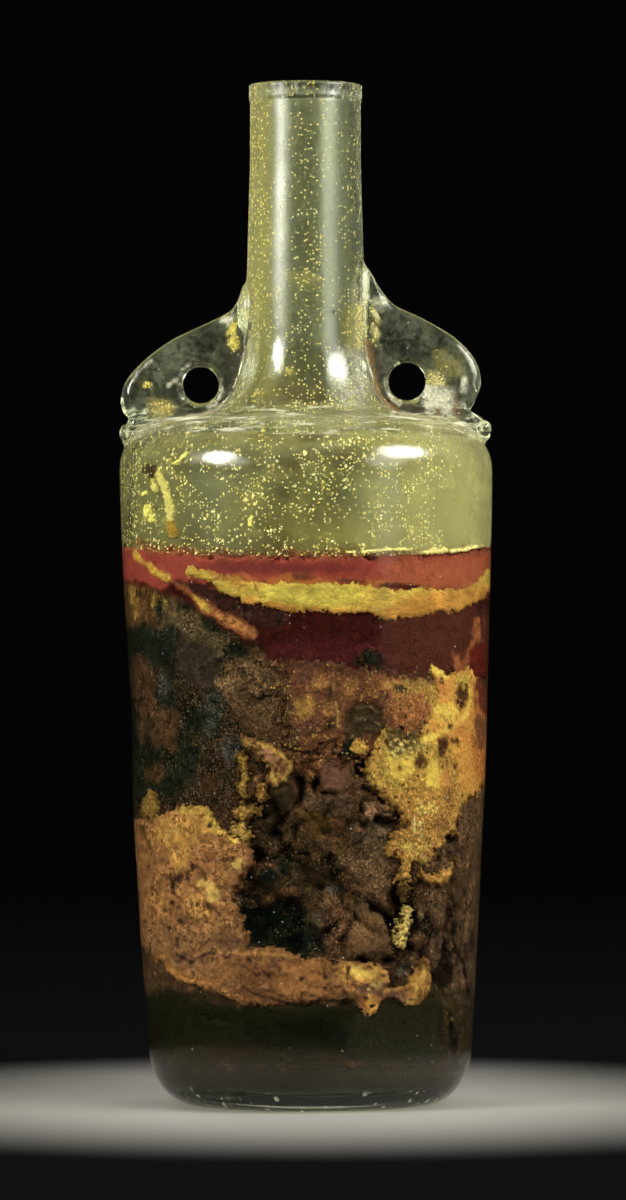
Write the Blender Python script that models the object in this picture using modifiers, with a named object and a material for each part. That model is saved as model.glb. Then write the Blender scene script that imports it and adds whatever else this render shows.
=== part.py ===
"""A hand-blown glass bottle of late Roman make, with a fin handle on each shoulder.

The bottle stands on +Z, with its handles along X. The origin is on the shoulder's axis, at the
level of the foot. The outside is turned, the handles are lofted and joined to it, and the hollow
is then cut out of both, so the vessel is one piece of glass with true walls. Lengths are in metres.
"""

import math

import bmesh
import bpy
from mathutils import Matrix, Vector

MM = 0.001

# The neck, from the rim down to the flare.
HEIGHT = 305.0 * MM
RIM_RADIUS = 16.95 * MM
RIM_BAND = 4.5 * MM
RIM_LEDGE = 0.35 * MM
RIM_ROUND = 0.5 * MM
NECK_RADIUS = 16.65 * MM
NECK_STRAIGHT = 20.0 * MM
NECK_LOW_RADIUS = 17.35 * MM
NECK_LOW_RISE = 52.0 * MM
NECK_FOOT_RADIUS = 18.0 * MM
FLARE_RISE = 26.0 * MM
FLARE_REACH = 15.0 * MM

# The body, from the shoulder's top down to the foot. It tapers to the foot and leans a little.
SHOULDER_HEIGHT = 205.0 * MM
SHOULDER_RADIUS = 56.0 * MM
SHOULDER_FALL = 1.6 * MM
SHOULDER_ROUND_WIDTH = 13.0 * MM
SHOULDER_ROUND_DROP = 14.0 * MM
FOOT_RADIUS = 48.8 * MM
BELLY_SWELL = 1.1 * MM
HEEL_WIDTH = 13.0 * MM
HEEL_RISE = 18.5 * MM
REST_RING_WIDTH = 5.0 * MM
KICK_RISE = 5.0 * MM
LEAN = 1.4 * MM

# The walls, measured square to the skin.
NECK_WALL = 3.0 * MM
BODY_WALL = 3.2 * MM
BASE_WALL = 7.0 * MM
MOUTH_CLEAR = 6.0 * MM

# How finely each shape is faceted.
TURNED_SIDES = 56
OUTER_STEPS = 6
INNER_STEPS = 4
KICK_STEPS = 3
OUTLINE_STEPS = 3
SECTION_SIDES = 12
FOLD_SIDES = 8
MERGE_DISTANCE = 0.01 * MM
SHARP_ANGLE = math.radians(35)

# Each handle is a fin round a finger hole. Its tail runs up the neck, and its hole's place is
# measured outwards from the neck's foot and up from the shoulder.
LEFT_TAIL_RISE = 39.0 * MM
LEFT_HOLE_RADIUS = 5.4 * MM
LEFT_HOLE_OUT = 13.4 * MM
LEFT_HOLE_UP = 9.9 * MM
RIGHT_TAIL_RISE = 46.0 * MM
RIGHT_HOLE_RADIUS = 5.6 * MM
RIGHT_HOLE_OUT = 12.4 * MM
RIGHT_HOLE_UP = 11.0 * MM
FIN_THICKNESS = 8.6 * MM

# Upright folds are pinched into each fin's head, and stand proud of both its faces. The inset is
# from the shoulder's radius to the fold furthest out, and each next fold is a pitch further in.
LEFT_FOLD_INSET = 4.4 * MM
LEFT_FOLD_PITCH = 3.6 * MM
RIGHT_FOLD_INSET = 7.7 * MM
RIGHT_FOLD_PITCH = 2.9 * MM
FOLD_COUNT = 3
FOLD_WIDTH = 2.5 * MM
FOLD_PROUD = 0.9 * MM
FOLD_RISE = 8.0 * MM
FOLD_SINK = 5.0 * MM
FOLD_STEP_DOWN = 1.0 * MM

# An outline point is (out, up): out goes from 0 at the foot of the neck to 1 at the shoulder's
# radius, and up from 0 at the shoulder to 1 at the tail.
LEFT_HANDLE = {
    "side": -1,
    "tail_rise": LEFT_TAIL_RISE,
    "hole_radius": LEFT_HOLE_RADIUS,
    "hole_out": LEFT_HOLE_OUT,
    "hole_up": LEFT_HOLE_UP,
    "fold_inset": LEFT_FOLD_INSET,
    "fold_pitch": LEFT_FOLD_PITCH,
    "outline": {
        "tail": (-0.01, 1.00),
        "nape": (0.11, 0.835),
        "hollow": (0.30, 0.735),
        "back": (0.57, 0.610),
        "crest": (0.79, 0.455),
        "brow": (0.935, 0.300),
        "snout": (0.985, 0.150),
        "chin": (0.965, 0.045),
        "throat": (0.925, -0.010),
        "toe": (0.985, -0.115),
        "toe_end": (0.94, -0.225),
    },
}
RIGHT_HANDLE = {
    "side": 1,
    "tail_rise": RIGHT_TAIL_RISE,
    "hole_radius": RIGHT_HOLE_RADIUS,
    "hole_out": RIGHT_HOLE_OUT,
    "hole_up": RIGHT_HOLE_UP,
    "fold_inset": RIGHT_FOLD_INSET,
    "fold_pitch": RIGHT_FOLD_PITCH,
    "outline": {
        "tail": (-0.01, 1.00),
        "nape": (0.105, 0.860),
        "hollow": (0.225, 0.742),
        "back": (0.45, 0.652),
        "crest": (0.69, 0.535),
        "brow": (0.855, 0.395),
        "snout": (0.912, 0.240),
        "chin": (0.860, 0.105),
        "throat": (0.825, 0.035),
        "lip": (0.915, 0.005),
        "toe": (0.980, -0.080),
        "toe_end": (0.94, -0.165),
    },
}
# The back of the outline lies buried in the glass of the shoulder and the neck.
BURIED_OUTLINE = ((0.62, -0.26), (0.20, -0.13), (-0.14, 0.05), (-0.22, 0.45), (-0.20, 0.92))
SECTION_POWER = 2.6
EDGE_SLACK = 1e-6

GLASS_COLOUR = (0.42, 0.46, 0.27, 1.0)
GLASS_ROUGHNESS = 0.08
GLASS_IOR = 1.5


def clear_scene():
    for obj in list(bpy.data.objects):
        bpy.data.objects.remove(obj)


def collection(name):
    made = bpy.data.collections.new(name)
    bpy.context.scene.collection.children.link(made)
    return made


def arc(centre, width, rise, start, end, steps):
    """Points on an ellipse in the profile's plane, from start to end in degrees, ends included."""
    angles = [math.radians(start + (end - start) * i / steps) for i in range(steps + 1)]
    return [(centre[0] + width * math.cos(a), centre[1] + rise * math.sin(a)) for a in angles]


def taper_radius(share):
    """The body's radius, from 0 at the shoulder's round to 1 at the heel, with a slight belly."""
    straight = SHOULDER_RADIUS + (FOOT_RADIUS - SHOULDER_RADIUS) * share
    return straight + BELLY_SWELL * math.sin(math.pi * share)


def neck_foot_height():
    return SHOULDER_HEIGHT + FLARE_RISE


def rest_ring_radius():
    """The outer edge of the flat ring that the bottle stands on."""
    return FOOT_RADIUS - HEEL_WIDTH


def outer_profile(steps):
    """The bottle's outside as (radius, height), from the rim's outer edge down to the rest ring."""
    band_foot = HEIGHT - RIM_BAND
    rim = arc((RIM_RADIUS - RIM_ROUND, HEIGHT - RIM_ROUND), RIM_ROUND, RIM_ROUND, 90, 0, 2)
    neck = [
        (RIM_RADIUS, band_foot),
        (RIM_RADIUS - RIM_LEDGE, band_foot - RIM_LEDGE),
        (NECK_RADIUS, band_foot - NECK_STRAIGHT),
        (NECK_LOW_RADIUS, SHOULDER_HEIGHT + NECK_LOW_RISE),
    ]
    flare_centre = (NECK_FOOT_RADIUS + FLARE_REACH, neck_foot_height())
    flare = arc(flare_centre, FLARE_REACH, FLARE_RISE, 180, 270, steps)
    round_top = SHOULDER_HEIGHT - SHOULDER_FALL
    round_centre = (SHOULDER_RADIUS - SHOULDER_ROUND_WIDTH, round_top - SHOULDER_ROUND_DROP)
    shoulder = arc(round_centre, SHOULDER_ROUND_WIDTH, SHOULDER_ROUND_DROP, 90, 0, steps)
    drop = round_centre[1] - HEEL_RISE
    shares = [step / steps for step in range(1, steps)]
    taper = [(taper_radius(share), round_centre[1] - drop * share) for share in shares]
    heel = arc((rest_ring_radius(), HEEL_RISE), HEEL_WIDTH, HEEL_RISE, 0, -90, steps)
    return rim + neck + flare + shoulder + taper + heel


def wall_at(height):
    """The wall's thickness at a height of the outside."""
    neck_start, neck_end = SHOULDER_HEIGHT, neck_foot_height()
    share = min(1.0, max(0.0, (height - neck_start) / (neck_end - neck_start)))
    base_share = min(1.0, max(0.0, 1 - height / HEEL_RISE))
    side = BODY_WALL + (NECK_WALL - BODY_WALL) * share
    return side + (BASE_WALL - side) * base_share**2


def inner_profile():
    """The hollow's outline: the outside moved in by the wall, from the mouth down to the floor."""
    below_band = HEIGHT - RIM_BAND - RIM_LEDGE / 2
    outside = [point for point in outer_profile(INNER_STEPS) if point[1] < below_band]
    moved = []
    for index, point in enumerate(outside):
        before = Vector(outside[max(index - 1, 0)])
        after = Vector(outside[min(index + 1, len(outside) - 1)])
        along = (after - before).normalized()
        inwards = Vector((along.y, -along.x))
        moved.append(tuple(Vector(point) + inwards * wall_at(point[1])))
    bore = moved[0][0]
    return [(bore, HEIGHT + MOUTH_CLEAR), *moved]


def kick_profile(edge_radius, edge_height, rise):
    """A shallow dome pushed up in the base, from its edge to the axis."""
    shares = [step / KICK_STEPS for step in range(1, KICK_STEPS + 1)]
    return [
        (edge_radius * (1 - share), edge_height + rise * math.sin(math.pi / 2 * share))
        for share in shares
    ]


def lean_at(height):
    """How far the body's axis has drifted along X. The neck and shoulder stand true."""
    return LEAN * min(1.0, max(0.0, 1 - height / SHOULDER_HEIGHT))


def mesh_object(name, mesh, home):
    made = bpy.data.objects.new(name, mesh)
    home.objects.link(made)
    return made


def turned(name, profile, home):
    """The solid that a profile sweeps round Z, from the axis at its top to the axis at its foot."""
    points = [(0.0, profile[0][1]), *profile]
    outline = bpy.data.meshes.new(name + "_profile")
    edges = [(index, index + 1) for index in range(len(points) - 1)]
    outline.from_pydata([(radius, 0.0, height) for radius, height in points], edges, [])
    wire = mesh_object(name + "_profile", outline, home)
    screw = wire.modifiers.new("Turn", "SCREW")
    screw.steps = screw.render_steps = TURNED_SIDES
    screw.use_merge_vertices = True
    screw.merge_threshold = MERGE_DISTANCE
    bpy.context.view_layer.update()
    graph = bpy.context.evaluated_depsgraph_get()
    mesh = bpy.data.meshes.new_from_object(wire.evaluated_get(graph))
    bpy.data.objects.remove(wire)
    for vertex in mesh.vertices:
        vertex.co.x += lean_at(vertex.co.z)
    return mesh_object(name, mesh, home)


def smooth_loop(points, steps):
    """A closed Catmull-Rom curve through the points, with steps points for each stretch."""
    count = len(points)
    curve = []
    for index in range(count):
        a, b, c, d = (Vector(points[(index + offset) % count]) for offset in (-1, 0, 1, 2))
        for step in range(steps):
            t = step / steps
            curve.append(
                0.5
                * (
                    2 * b
                    + (c - a) * t
                    + (2 * a - 5 * b + 4 * c - d) * t**2
                    + (3 * b - a - 3 * c + d) * t**3
                )
            )
    return curve


def handle_rim(handle):
    """The fin's outer outline in the handle's own plane, as (distance from the axis, height)."""
    span = SHOULDER_RADIUS - NECK_FOOT_RADIUS
    shares = [*handle["outline"].values(), *BURIED_OUTLINE]
    places = [
        (NECK_FOOT_RADIUS + out * span, SHOULDER_HEIGHT + up * handle["tail_rise"])
        for out, up in shares
    ]
    return smooth_loop(places, OUTLINE_STEPS)


def crossing(loop, centre, angle):
    """Where a ray from the centre meets the loop. The loop is seen whole from the centre."""
    ray = Vector((math.cos(angle), math.sin(angle)))
    best = None
    for here, after in zip(loop, loop[1:] + loop[:1]):
        edge = after - here
        across = ray.x * edge.y - ray.y * edge.x
        if across == 0:
            continue
        start = here - centre
        distance = (start.x * edge.y - start.y * edge.x) / across
        share = (start.x * ray.y - start.y * ray.x) / across
        on_edge = -EDGE_SLACK <= share <= 1 + EDGE_SLACK
        if on_edge and distance > 0 and (best is None or distance > best):
            best = distance
    return centre + ray * best


def rounded(value):
    """A superellipse's coordinate for a sine or cosine."""
    return math.copysign(abs(value) ** (2 / SECTION_POWER), value)


def finished(name, made, home):
    """An object from a bmesh, with its faces turned outwards."""
    bmesh.ops.recalc_face_normals(made, faces=made.faces)
    mesh = bpy.data.meshes.new(name)
    made.to_mesh(mesh)
    made.free()
    return mesh_object(name, mesh, home)


def fin(name, handle, home):
    """One handle: flat rounded sections stood round the hole, from its edge out to the outline."""
    loop = handle_rim(handle)
    centre = Vector(
        (NECK_FOOT_RADIUS + handle["hole_out"], SHOULDER_HEIGHT + handle["hole_up"])
    )
    angles = sorted(math.atan2(point.y - centre.y, point.x - centre.x) for point in loop)
    made = bmesh.new()
    rings = []
    for angle in angles:
        outer = crossing(loop, centre, angle)
        inner = centre + (outer - centre).normalized() * handle["hole_radius"]
        heart = (outer + inner) / 2
        reach = (outer - inner) / 2
        ring = []
        for side in range(SECTION_SIDES):
            turn = math.tau * side / SECTION_SIDES
            place = heart + reach * rounded(math.cos(turn))
            thickness = FIN_THICKNESS / 2 * rounded(math.sin(turn))
            ring.append(made.verts.new((handle["side"] * place.x, thickness, place.y)))
        rings.append(ring)
    for index, ring in enumerate(rings):
        after = rings[(index + 1) % len(rings)]
        for side in range(SECTION_SIDES):
            beside = (side + 1) % SECTION_SIDES
            made.faces.new((ring[side], after[side], after[beside], ring[beside]))
    return finished(name, made, home)


def folds(name, handle, home):
    """The pinched folds of one handle: upright swellings through the fin, lower towards the hole."""
    made = bmesh.new()
    for index in range(FOLD_COUNT):
        inset = handle["fold_inset"] + handle["fold_pitch"] * index
        out = handle["side"] * (SHOULDER_RADIUS - inset)
        rise = FOLD_RISE - FOLD_STEP_DOWN * index
        centre = Vector((out, 0.0, SHOULDER_HEIGHT + (rise - FOLD_SINK) / 2))
        half = Vector((FOLD_WIDTH, FIN_THICKNESS + 2 * FOLD_PROUD, rise + FOLD_SINK)) / 2
        bmesh.ops.create_uvsphere(
            made,
            u_segments=FOLD_SIDES,
            v_segments=FOLD_SIDES,
            radius=1.0,
            matrix=Matrix.LocRotScale(centre, None, half),
        )
    return finished(name, made, home)


def as_helper(obj):
    obj.hide_render = True
    obj.display_type = "WIRE"


def join_or_cut(obj, other, operation):
    as_helper(other)
    boolean = obj.modifiers.new(other.name, "BOOLEAN")
    boolean.operation = operation
    boolean.solver = "EXACT"
    boolean.object = other


def glass():
    material = bpy.data.materials.new("olive_glass")
    material.use_nodes = True
    shader = material.node_tree.nodes["Principled BSDF"]
    shader.inputs["Base Color"].default_value = GLASS_COLOUR
    shader.inputs["Roughness"].default_value = GLASS_ROUGHNESS
    shader.inputs["Metallic"].default_value = 0.0
    shader.inputs["Transmission Weight"].default_value = 1.0
    shader.inputs["IOR"].default_value = GLASS_IOR
    return material


def bottle(home, helpers):
    """The whole vessel: outside, two handles, and the hollow cut out of them."""
    ring_inner = rest_ring_radius() - REST_RING_WIDTH
    kick = kick_profile(ring_inner, 0.0, KICK_RISE)
    outside = outer_profile(OUTER_STEPS) + [(ring_inner, 0.0)] + kick
    made = turned("bottle", outside, home)
    hollow_wall = inner_profile()
    floor_radius, floor_height = hollow_wall[-1]
    floor = kick_profile(floor_radius, floor_height, KICK_RISE)
    hollow = turned("hollow", hollow_wall + floor, helpers)
    for side, handle in (("left", LEFT_HANDLE), ("right", RIGHT_HANDLE)):
        join_or_cut(made, fin(side + "_fin", handle, helpers), "UNION")
        join_or_cut(made, folds(side + "_folds", handle, helpers), "UNION")
    join_or_cut(made, hollow, "DIFFERENCE")
    made.data.materials.append(glass())
    made.data.shade_smooth()
    made.data.set_sharp_from_angle(angle=SHARP_ANGLE)
    return made


def main():
    clear_scene()
    bottle(collection("roman_glass_bottle"), collection("cutters"))


main()
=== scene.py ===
"""The looks of an ancient wine bottle: hazy blown glass round its old wine, resin and crusts.

Lengths are in millimetres until a mesh is made. A place on the wall is written as (across, up):
how far to the right of the bottle's axis it shows from square in front, and its height there.
"""

import math
from contextlib import contextmanager

import bmesh
import bpy
import numpy as np
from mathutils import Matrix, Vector, noise
from mathutils.bvhtree import BVHTree


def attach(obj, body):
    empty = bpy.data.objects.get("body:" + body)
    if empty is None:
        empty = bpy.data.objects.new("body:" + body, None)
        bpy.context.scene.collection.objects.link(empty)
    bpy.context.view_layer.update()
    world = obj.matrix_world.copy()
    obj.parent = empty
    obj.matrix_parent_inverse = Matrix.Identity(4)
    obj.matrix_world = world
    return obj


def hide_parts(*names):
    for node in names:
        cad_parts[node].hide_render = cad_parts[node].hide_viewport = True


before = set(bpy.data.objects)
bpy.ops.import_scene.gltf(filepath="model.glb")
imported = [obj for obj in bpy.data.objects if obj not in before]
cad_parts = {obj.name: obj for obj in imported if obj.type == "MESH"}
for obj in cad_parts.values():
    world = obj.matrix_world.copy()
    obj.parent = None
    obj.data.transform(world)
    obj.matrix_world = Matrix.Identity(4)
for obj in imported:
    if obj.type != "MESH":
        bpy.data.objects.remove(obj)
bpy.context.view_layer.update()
MM = 0.001

# The camera looks level at the middle of the bottle, from across the room, through a long lens
# that shows it nearly without perspective.
EYE_DISTANCE = 1740.0
EYE_HEIGHT = 150.5
EYE_SIDE = 2.25
LENS = 116.0
SENSOR = 24.0

camera_data = bpy.data.cameras.new("eye")
camera_data.sensor_fit = "VERTICAL"
camera_data.sensor_height = SENSOR
camera_data.lens = LENS
camera = bpy.data.objects.new("eye", camera_data)
camera.location = Vector((EYE_SIDE, -EYE_DISTANCE, EYE_HEIGHT)) * MM
camera.rotation_euler = (math.pi / 2, 0, 0)
bpy.context.scene.collection.objects.link(camera)
bpy.context.scene.camera = camera

# A dark room, and soft lamps that fade out towards their edges: a pair to each side, whose
# bright heart and wide glow the glass mirrors, and plain fills, whose glints stay out of view.
ROOM_COLOUR = (0.0012, 0.0012, 0.0013)
LAMP_REACH = 1.2
LAMP_HEART = 0.15
LAMP_EDGE = 0.5
HEART_GAIN = 2.3
# name: (azimuth from the front, elevation, width, height, watts, mirrored)
LAMPS = {
    "left_lamp": (-56, 22, 0.56, 0.66, 12.0, True),
    "left_glow": (-48, 14, 0.74, 0.56, 1.8, True),
    "right_lamp": (67, 31, 0.92, 0.72, 14.5, True),
    "right_glow": (50, 15, 0.82, 0.84, 2.6, True),
    "left_fill": (-42, 35, 0.80, 0.80, 5.0, False),
    "right_fill": (42, 35, 0.80, 0.80, 6.5, False),
    "top_fill": (10, 80, 0.70, 0.70, 2.0, False),
    "back_left_fill": (-150, 50, 0.60, 0.45, 4.0, False),
    "back_right_fill": (150, 50, 0.60, 0.45, 4.0, False),
}

world = bpy.data.worlds.new("dark_room")
world.use_nodes = True
world.node_tree.nodes["Background"].inputs["Color"].default_value = (*ROOM_COLOUR, 1)
bpy.context.scene.world = world
bpy.context.scene.view_settings.view_transform = "Standard"
for lamp_name, (azimuth, elevation, width, height, watts, mirrored) in LAMPS.items():
    lamp_data = bpy.data.lights.new(lamp_name, "AREA")
    lamp_data.shape = "ELLIPSE"
    lamp_data.size = width
    lamp_data.size_y = height
    lamp_data.energy = watts
    lamp_data.use_nodes = True
    tree = lamp_data.node_tree
    place = tree.nodes.new("ShaderNodeNewGeometry")
    from_heart = tree.nodes.new("ShaderNodeVectorMath")
    from_heart.operation = "DISTANCE"
    from_heart.inputs[1].default_value = (0.5, 0.5, 0.0)
    fading = tree.nodes.new("ShaderNodeMapRange")
    fading.interpolation_type = "SMOOTHERSTEP"
    fading.inputs["From Min"].default_value = LAMP_EDGE
    fading.inputs["From Max"].default_value = LAMP_HEART
    fading.inputs["To Max"].default_value = HEART_GAIN
    tree.links.new(place.outputs["Parametric"], from_heart.inputs[0])
    tree.links.new(from_heart.outputs["Value"], fading.inputs["Value"])
    tree.links.new(fading.outputs["Result"], tree.nodes["Emission"].inputs["Color"])
    lamp = bpy.data.objects.new(lamp_name, lamp_data)
    turn = math.radians(azimuth)
    lift = math.radians(elevation)
    away = Vector(
        (math.sin(turn) * math.cos(lift), -math.cos(turn) * math.cos(lift), math.sin(lift))
    )
    lamp.location = Vector((0, 0, EYE_HEIGHT * MM)) + away * LAMP_REACH
    lamp.rotation_euler = away.to_track_quat("Z", "Y").to_euler()
    lamp.visible_camera = False
    lamp.visible_transmission = mirrored
    lamp.visible_glossy = mirrored
    bpy.context.scene.collection.objects.link(lamp)


# The floor is a pale board with a matt face, which the bottle just stands on. Its colour holds a
# painted pool of light: pale round the bottle, and shading to dark further off.
FLOOR_RADIUS = 1500.0
FLOOR_DROP = 0.2
FLOOR_SIDES = 96
FLOOR_COLOURS = ((0.27, 0.255, 0.225), (0.30, 0.285, 0.25))
FLOOR_SHADE = (0.003, 0.003, 0.003)
FLOOR_GRAIN = 6.0
LIGHT_POOL_REACH = (30.0, 190.0)


class Wire:
    """A socket in a material's node tree. Arithmetic on wires adds the Math nodes for it."""

    def __init__(self, material, socket=None):
        self.material = material
        self.socket = socket

    def node(self, kind, settings=None, output=0, **sockets):
        """A new node in the same tree, as a wire from one of its outputs."""
        tree = self.material.node_tree
        made = tree.nodes.new("ShaderNode" + kind)
        for name, value in (settings or {}).items():
            setattr(made, name, value)
        for name, value in sockets.items():
            socket = pick(made.inputs, name)
            if isinstance(value, Wire):
                tree.links.new(value.socket, socket)
            elif socket.type == "RGBA":
                socket.default_value = (*value, 1.0)
            else:
                socket.default_value = value
        return Wire(self.material, pick(made.outputs, output))

    def maths(self, operation, first, second):
        return self.node("Math", {"operation": operation}, Value=first, Value_001=second)

    def vector(self, operation, output=0, **sockets):
        return self.node("VectorMath", {"operation": operation}, output, **sockets)

    def along(self, axis):
        """One coordinate of a place."""
        return self.node("SeparateXYZ", output=axis, Vector=self)

    def __add__(self, other):
        return self.maths("ADD", self, other)

    def __radd__(self, other):
        return self.maths("ADD", other, self)

    def __sub__(self, other):
        return self.maths("SUBTRACT", self, other)

    def __rsub__(self, other):
        return self.maths("SUBTRACT", other, self)

    def __mul__(self, other):
        return self.maths("MULTIPLY", self, other)

    def __rmul__(self, other):
        return self.maths("MULTIPLY", other, self)

    def __truediv__(self, other):
        return self.maths("DIVIDE", self, other)

    def __rpow__(self, other):
        return self.maths("POWER", other, self)


def pick(sockets, key):
    """The socket of a node that has this place, identifier or name, with _ for a space."""
    if isinstance(key, int):
        return sockets[key]
    same = [socket for socket in sockets if socket.identifier == key]
    return (same or [socket for socket in sockets if socket.name == key.replace("_", " ")])[0]


def start(name):
    """A new material with nothing in it, as a wire that nodes can be added to."""
    material = bpy.data.materials.new(name)
    material.use_nodes = True
    material.node_tree.nodes.clear()
    return Wire(material)


def done(shader):
    """Joins the last shader to its material's output and gives the material."""
    tree = shader.material.node_tree
    ending = tree.nodes.new("ShaderNodeOutputMaterial")
    tree.links.new(shader.socket, ending.inputs["Surface"])
    return shader.material


def in_mm(wire):
    """The object's own coordinates, in millimetres."""
    return wire.vector("SCALE", Vector=wire.node("TexCoord", output="Object"), Scale=1 / MM)


def cloud(place, size, detail=3.0, roughness=0.55):
    """Fractal noise from 0 to 1 with features of about this size in millimetres."""
    return place.node("TexNoise", Vector=place, Scale=1 / size, Detail=detail, Roughness=roughness)


def rise(value, low, high):
    """0 below low, 1 above high, and a smooth step between them."""
    return value.node(
        "MapRange", {"interpolation_type": "SMOOTHSTEP"}, Value=value, From_Min=low, From_Max=high
    )


def tint(factor, first, second):
    """One colour mixed into another by a factor."""
    return factor.node(
        "Mix", {"data_type": "RGBA"}, "Result_Color", Factor_Float=factor, A_Color=first,
        B_Color=second,
    )


def mesh_object(name, points, faces):
    """An object from points in millimetres."""
    mesh = bpy.data.meshes.new(name)
    mesh.from_pydata((np.asarray(points) * MM).tolist(), [], faces)
    mesh.validate()
    mesh.shade_smooth()
    made = bpy.data.objects.new(name, mesh)
    bpy.context.scene.collection.objects.link(made)
    return made


@contextmanager
def edited(mesh):
    """The mesh, open for bmesh's tools, and put back afterwards."""
    shape = bmesh.new()
    shape.from_mesh(mesh)
    yield shape
    shape.to_mesh(mesh)
    shape.free()


floor = mesh_object("floor", [], [])
with edited(floor.data) as shape:
    bmesh.ops.create_circle(shape, cap_ends=True, segments=FLOOR_SIDES, radius=FLOOR_RADIUS * MM)
floor.location.z = -FLOOR_DROP * MM
floor_wire = start("pale_board")
floor_place = in_mm(floor_wire)
floor_away = floor_place.vector("LENGTH", "Value", Vector=floor_place)
floor_pale = tint(cloud(floor_place, FLOOR_GRAIN, 5.0), *FLOOR_COLOURS)
# Painted pool of light: the board's colour fades to the dark shade away from the bottle.
floor_light_pool = tint(rise(floor_away, *LIGHT_POOL_REACH), floor_pale, FLOOR_SHADE)
floor_shader = floor_wire.node(
    "BsdfPrincipled", Base_Color=floor_light_pool, Roughness=1.0, Specular_IOR_Level=0.0
)
floor.data.materials.append(done(floor_shader))


# The vessel is one piece of free-blown olive glass: a turned body, shoulder and neck with a fin
# handle trailed on at each side. It repeats the solid's forms with finer faces, the handles' joins
# are melted in, the rim is chipped, and the wall swells and pinches a little as blown glass does.
HEIGHT = 305.0
RIM_RADIUS = 16.95
RIM_BAND = 4.5
RIM_LEDGE = 0.35
RIM_ROUND = 0.5
NECK_RADIUS = 16.65
NECK_STRAIGHT = 20.0
NECK_LOW_RADIUS = 17.35
NECK_LOW_RISE = 52.0
NECK_FOOT_RADIUS = 18.0
FLARE_RISE = 26.0
FLARE_REACH = 15.0
SHOULDER_HEIGHT = 205.0
SHOULDER_RADIUS = 56.0
SHOULDER_FALL = 1.6
SHOULDER_ROUND_WIDTH = 13.0
SHOULDER_ROUND_DROP = 14.0
FOOT_RADIUS = 48.8
BELLY_SWELL = 1.1
HEEL_WIDTH = 13.0
HEEL_RISE = 18.5
REST_RING_WIDTH = 5.0
KICK_RISE = 5.0
LEAN = 1.4
NECK_WALL = 3.0
BODY_WALL = 3.2
BASE_WALL = 7.0
MOUTH_CLEAR = 6.0

# Rows and columns of the turned faces: fine round the handles, coarser elsewhere.
FINE_HEIGHTS = (186.0, 256.0)
FINE_ROW = 0.8
RIM_ROW = 0.6
HOLLOW_ROW = 1.6
COARSE_ROW = 3.0
FINE_REACH = 9.0
FINE_TURN = 0.85
NEAR_REACH = 26.0
NEAR_TURN = 1.7
COARSE_TURN = 3.2
HOLLOW_TURN = 2.5

# The wall's unevenness: a slow pinch on the left side, low ripples that only go inwards and calm
# down on the neck and at the foot, and chips in the rim.
PINCH_DEPTH = 0.9
PINCH_ANGLE = math.radians(-84)
PINCH_SPREAD = math.radians(42)
PINCH_HEIGHT = 117.0
PINCH_RISE = 24.0
NOISE_RADIUS = 50.0
NOISE_SQUASH = 0.6
RIPPLE_DEPTH = 0.30
RIPPLE_SIZE = 34.0
CALM_HEIGHT = 245.0
CALM_RISE = 30.0
CALM_NECK = 0.25
CALM_FOOT = 12.0
RIM_CHIPS = 0.45
RIM_SQUEEZE = 0.34
CHIP_SIZE = 2.0
CHIP_FADE = 1.5


def arc(centre, width, height, start_angle, end_angle, steps):
    """Points on an ellipse, from one angle to another in degrees, ends included."""
    turns = np.radians(np.linspace(start_angle, end_angle, steps + 1))
    return [(centre[0] + width * math.cos(t), centre[1] + height * math.sin(t)) for t in turns]


def outer_profile(steps=24):
    """The outside as (radius, height), from the rim's outer edge down to the rest ring."""
    band_foot = HEIGHT - RIM_BAND
    rim = arc((RIM_RADIUS - RIM_ROUND, HEIGHT - RIM_ROUND), RIM_ROUND, RIM_ROUND, 90, 0, 4)
    neck = [
        (RIM_RADIUS, band_foot),
        (RIM_RADIUS - RIM_LEDGE, band_foot - RIM_LEDGE),
        (NECK_RADIUS, band_foot - NECK_STRAIGHT),
        (NECK_LOW_RADIUS, SHOULDER_HEIGHT + NECK_LOW_RISE),
    ]
    flare_centre = (NECK_FOOT_RADIUS + FLARE_REACH, SHOULDER_HEIGHT + FLARE_RISE)
    flare = arc(flare_centre, FLARE_REACH, FLARE_RISE, 180, 270, steps)
    round_centre = (
        SHOULDER_RADIUS - SHOULDER_ROUND_WIDTH,
        SHOULDER_HEIGHT - SHOULDER_FALL - SHOULDER_ROUND_DROP,
    )
    shoulder = arc(round_centre, SHOULDER_ROUND_WIDTH, SHOULDER_ROUND_DROP, 90, 0, steps)
    drop = round_centre[1] - HEEL_RISE
    taper = []
    for share in np.linspace(0, 1, steps + 1)[1:-1]:
        swell = BELLY_SWELL * math.sin(math.pi * share)
        radius = SHOULDER_RADIUS + (FOOT_RADIUS - SHOULDER_RADIUS) * share + swell
        taper.append((radius, round_centre[1] - drop * share))
    heel = arc((FOOT_RADIUS - HEEL_WIDTH, HEEL_RISE), HEEL_WIDTH, HEEL_RISE, 0, -90, steps)
    return rim + neck + flare + shoulder + taper + heel


def wall_at(height):
    """The wall's thickness at a height of the outside."""
    share = min(1.0, max(0.0, (height - SHOULDER_HEIGHT) / FLARE_RISE))
    base_share = min(1.0, max(0.0, 1 - height / HEEL_RISE))
    side = BODY_WALL + (NECK_WALL - BODY_WALL) * share
    return side + (BASE_WALL - side) * base_share**2


def inner_profile():
    """The hollow as (radius, height): the outside moved in by the wall, below the rim's band."""
    outside = [point for point in outer_profile() if point[1] < HEIGHT - RIM_BAND - RIM_LEDGE / 2]
    moved = []
    for index, point in enumerate(outside):
        before = Vector(outside[max(index - 1, 0)])
        after = Vector(outside[min(index + 1, len(outside) - 1)])
        along = (after - before).normalized()
        moved.append(tuple(Vector(point) + Vector((along.y, -along.x)) * wall_at(point[1])))
    return moved


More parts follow.
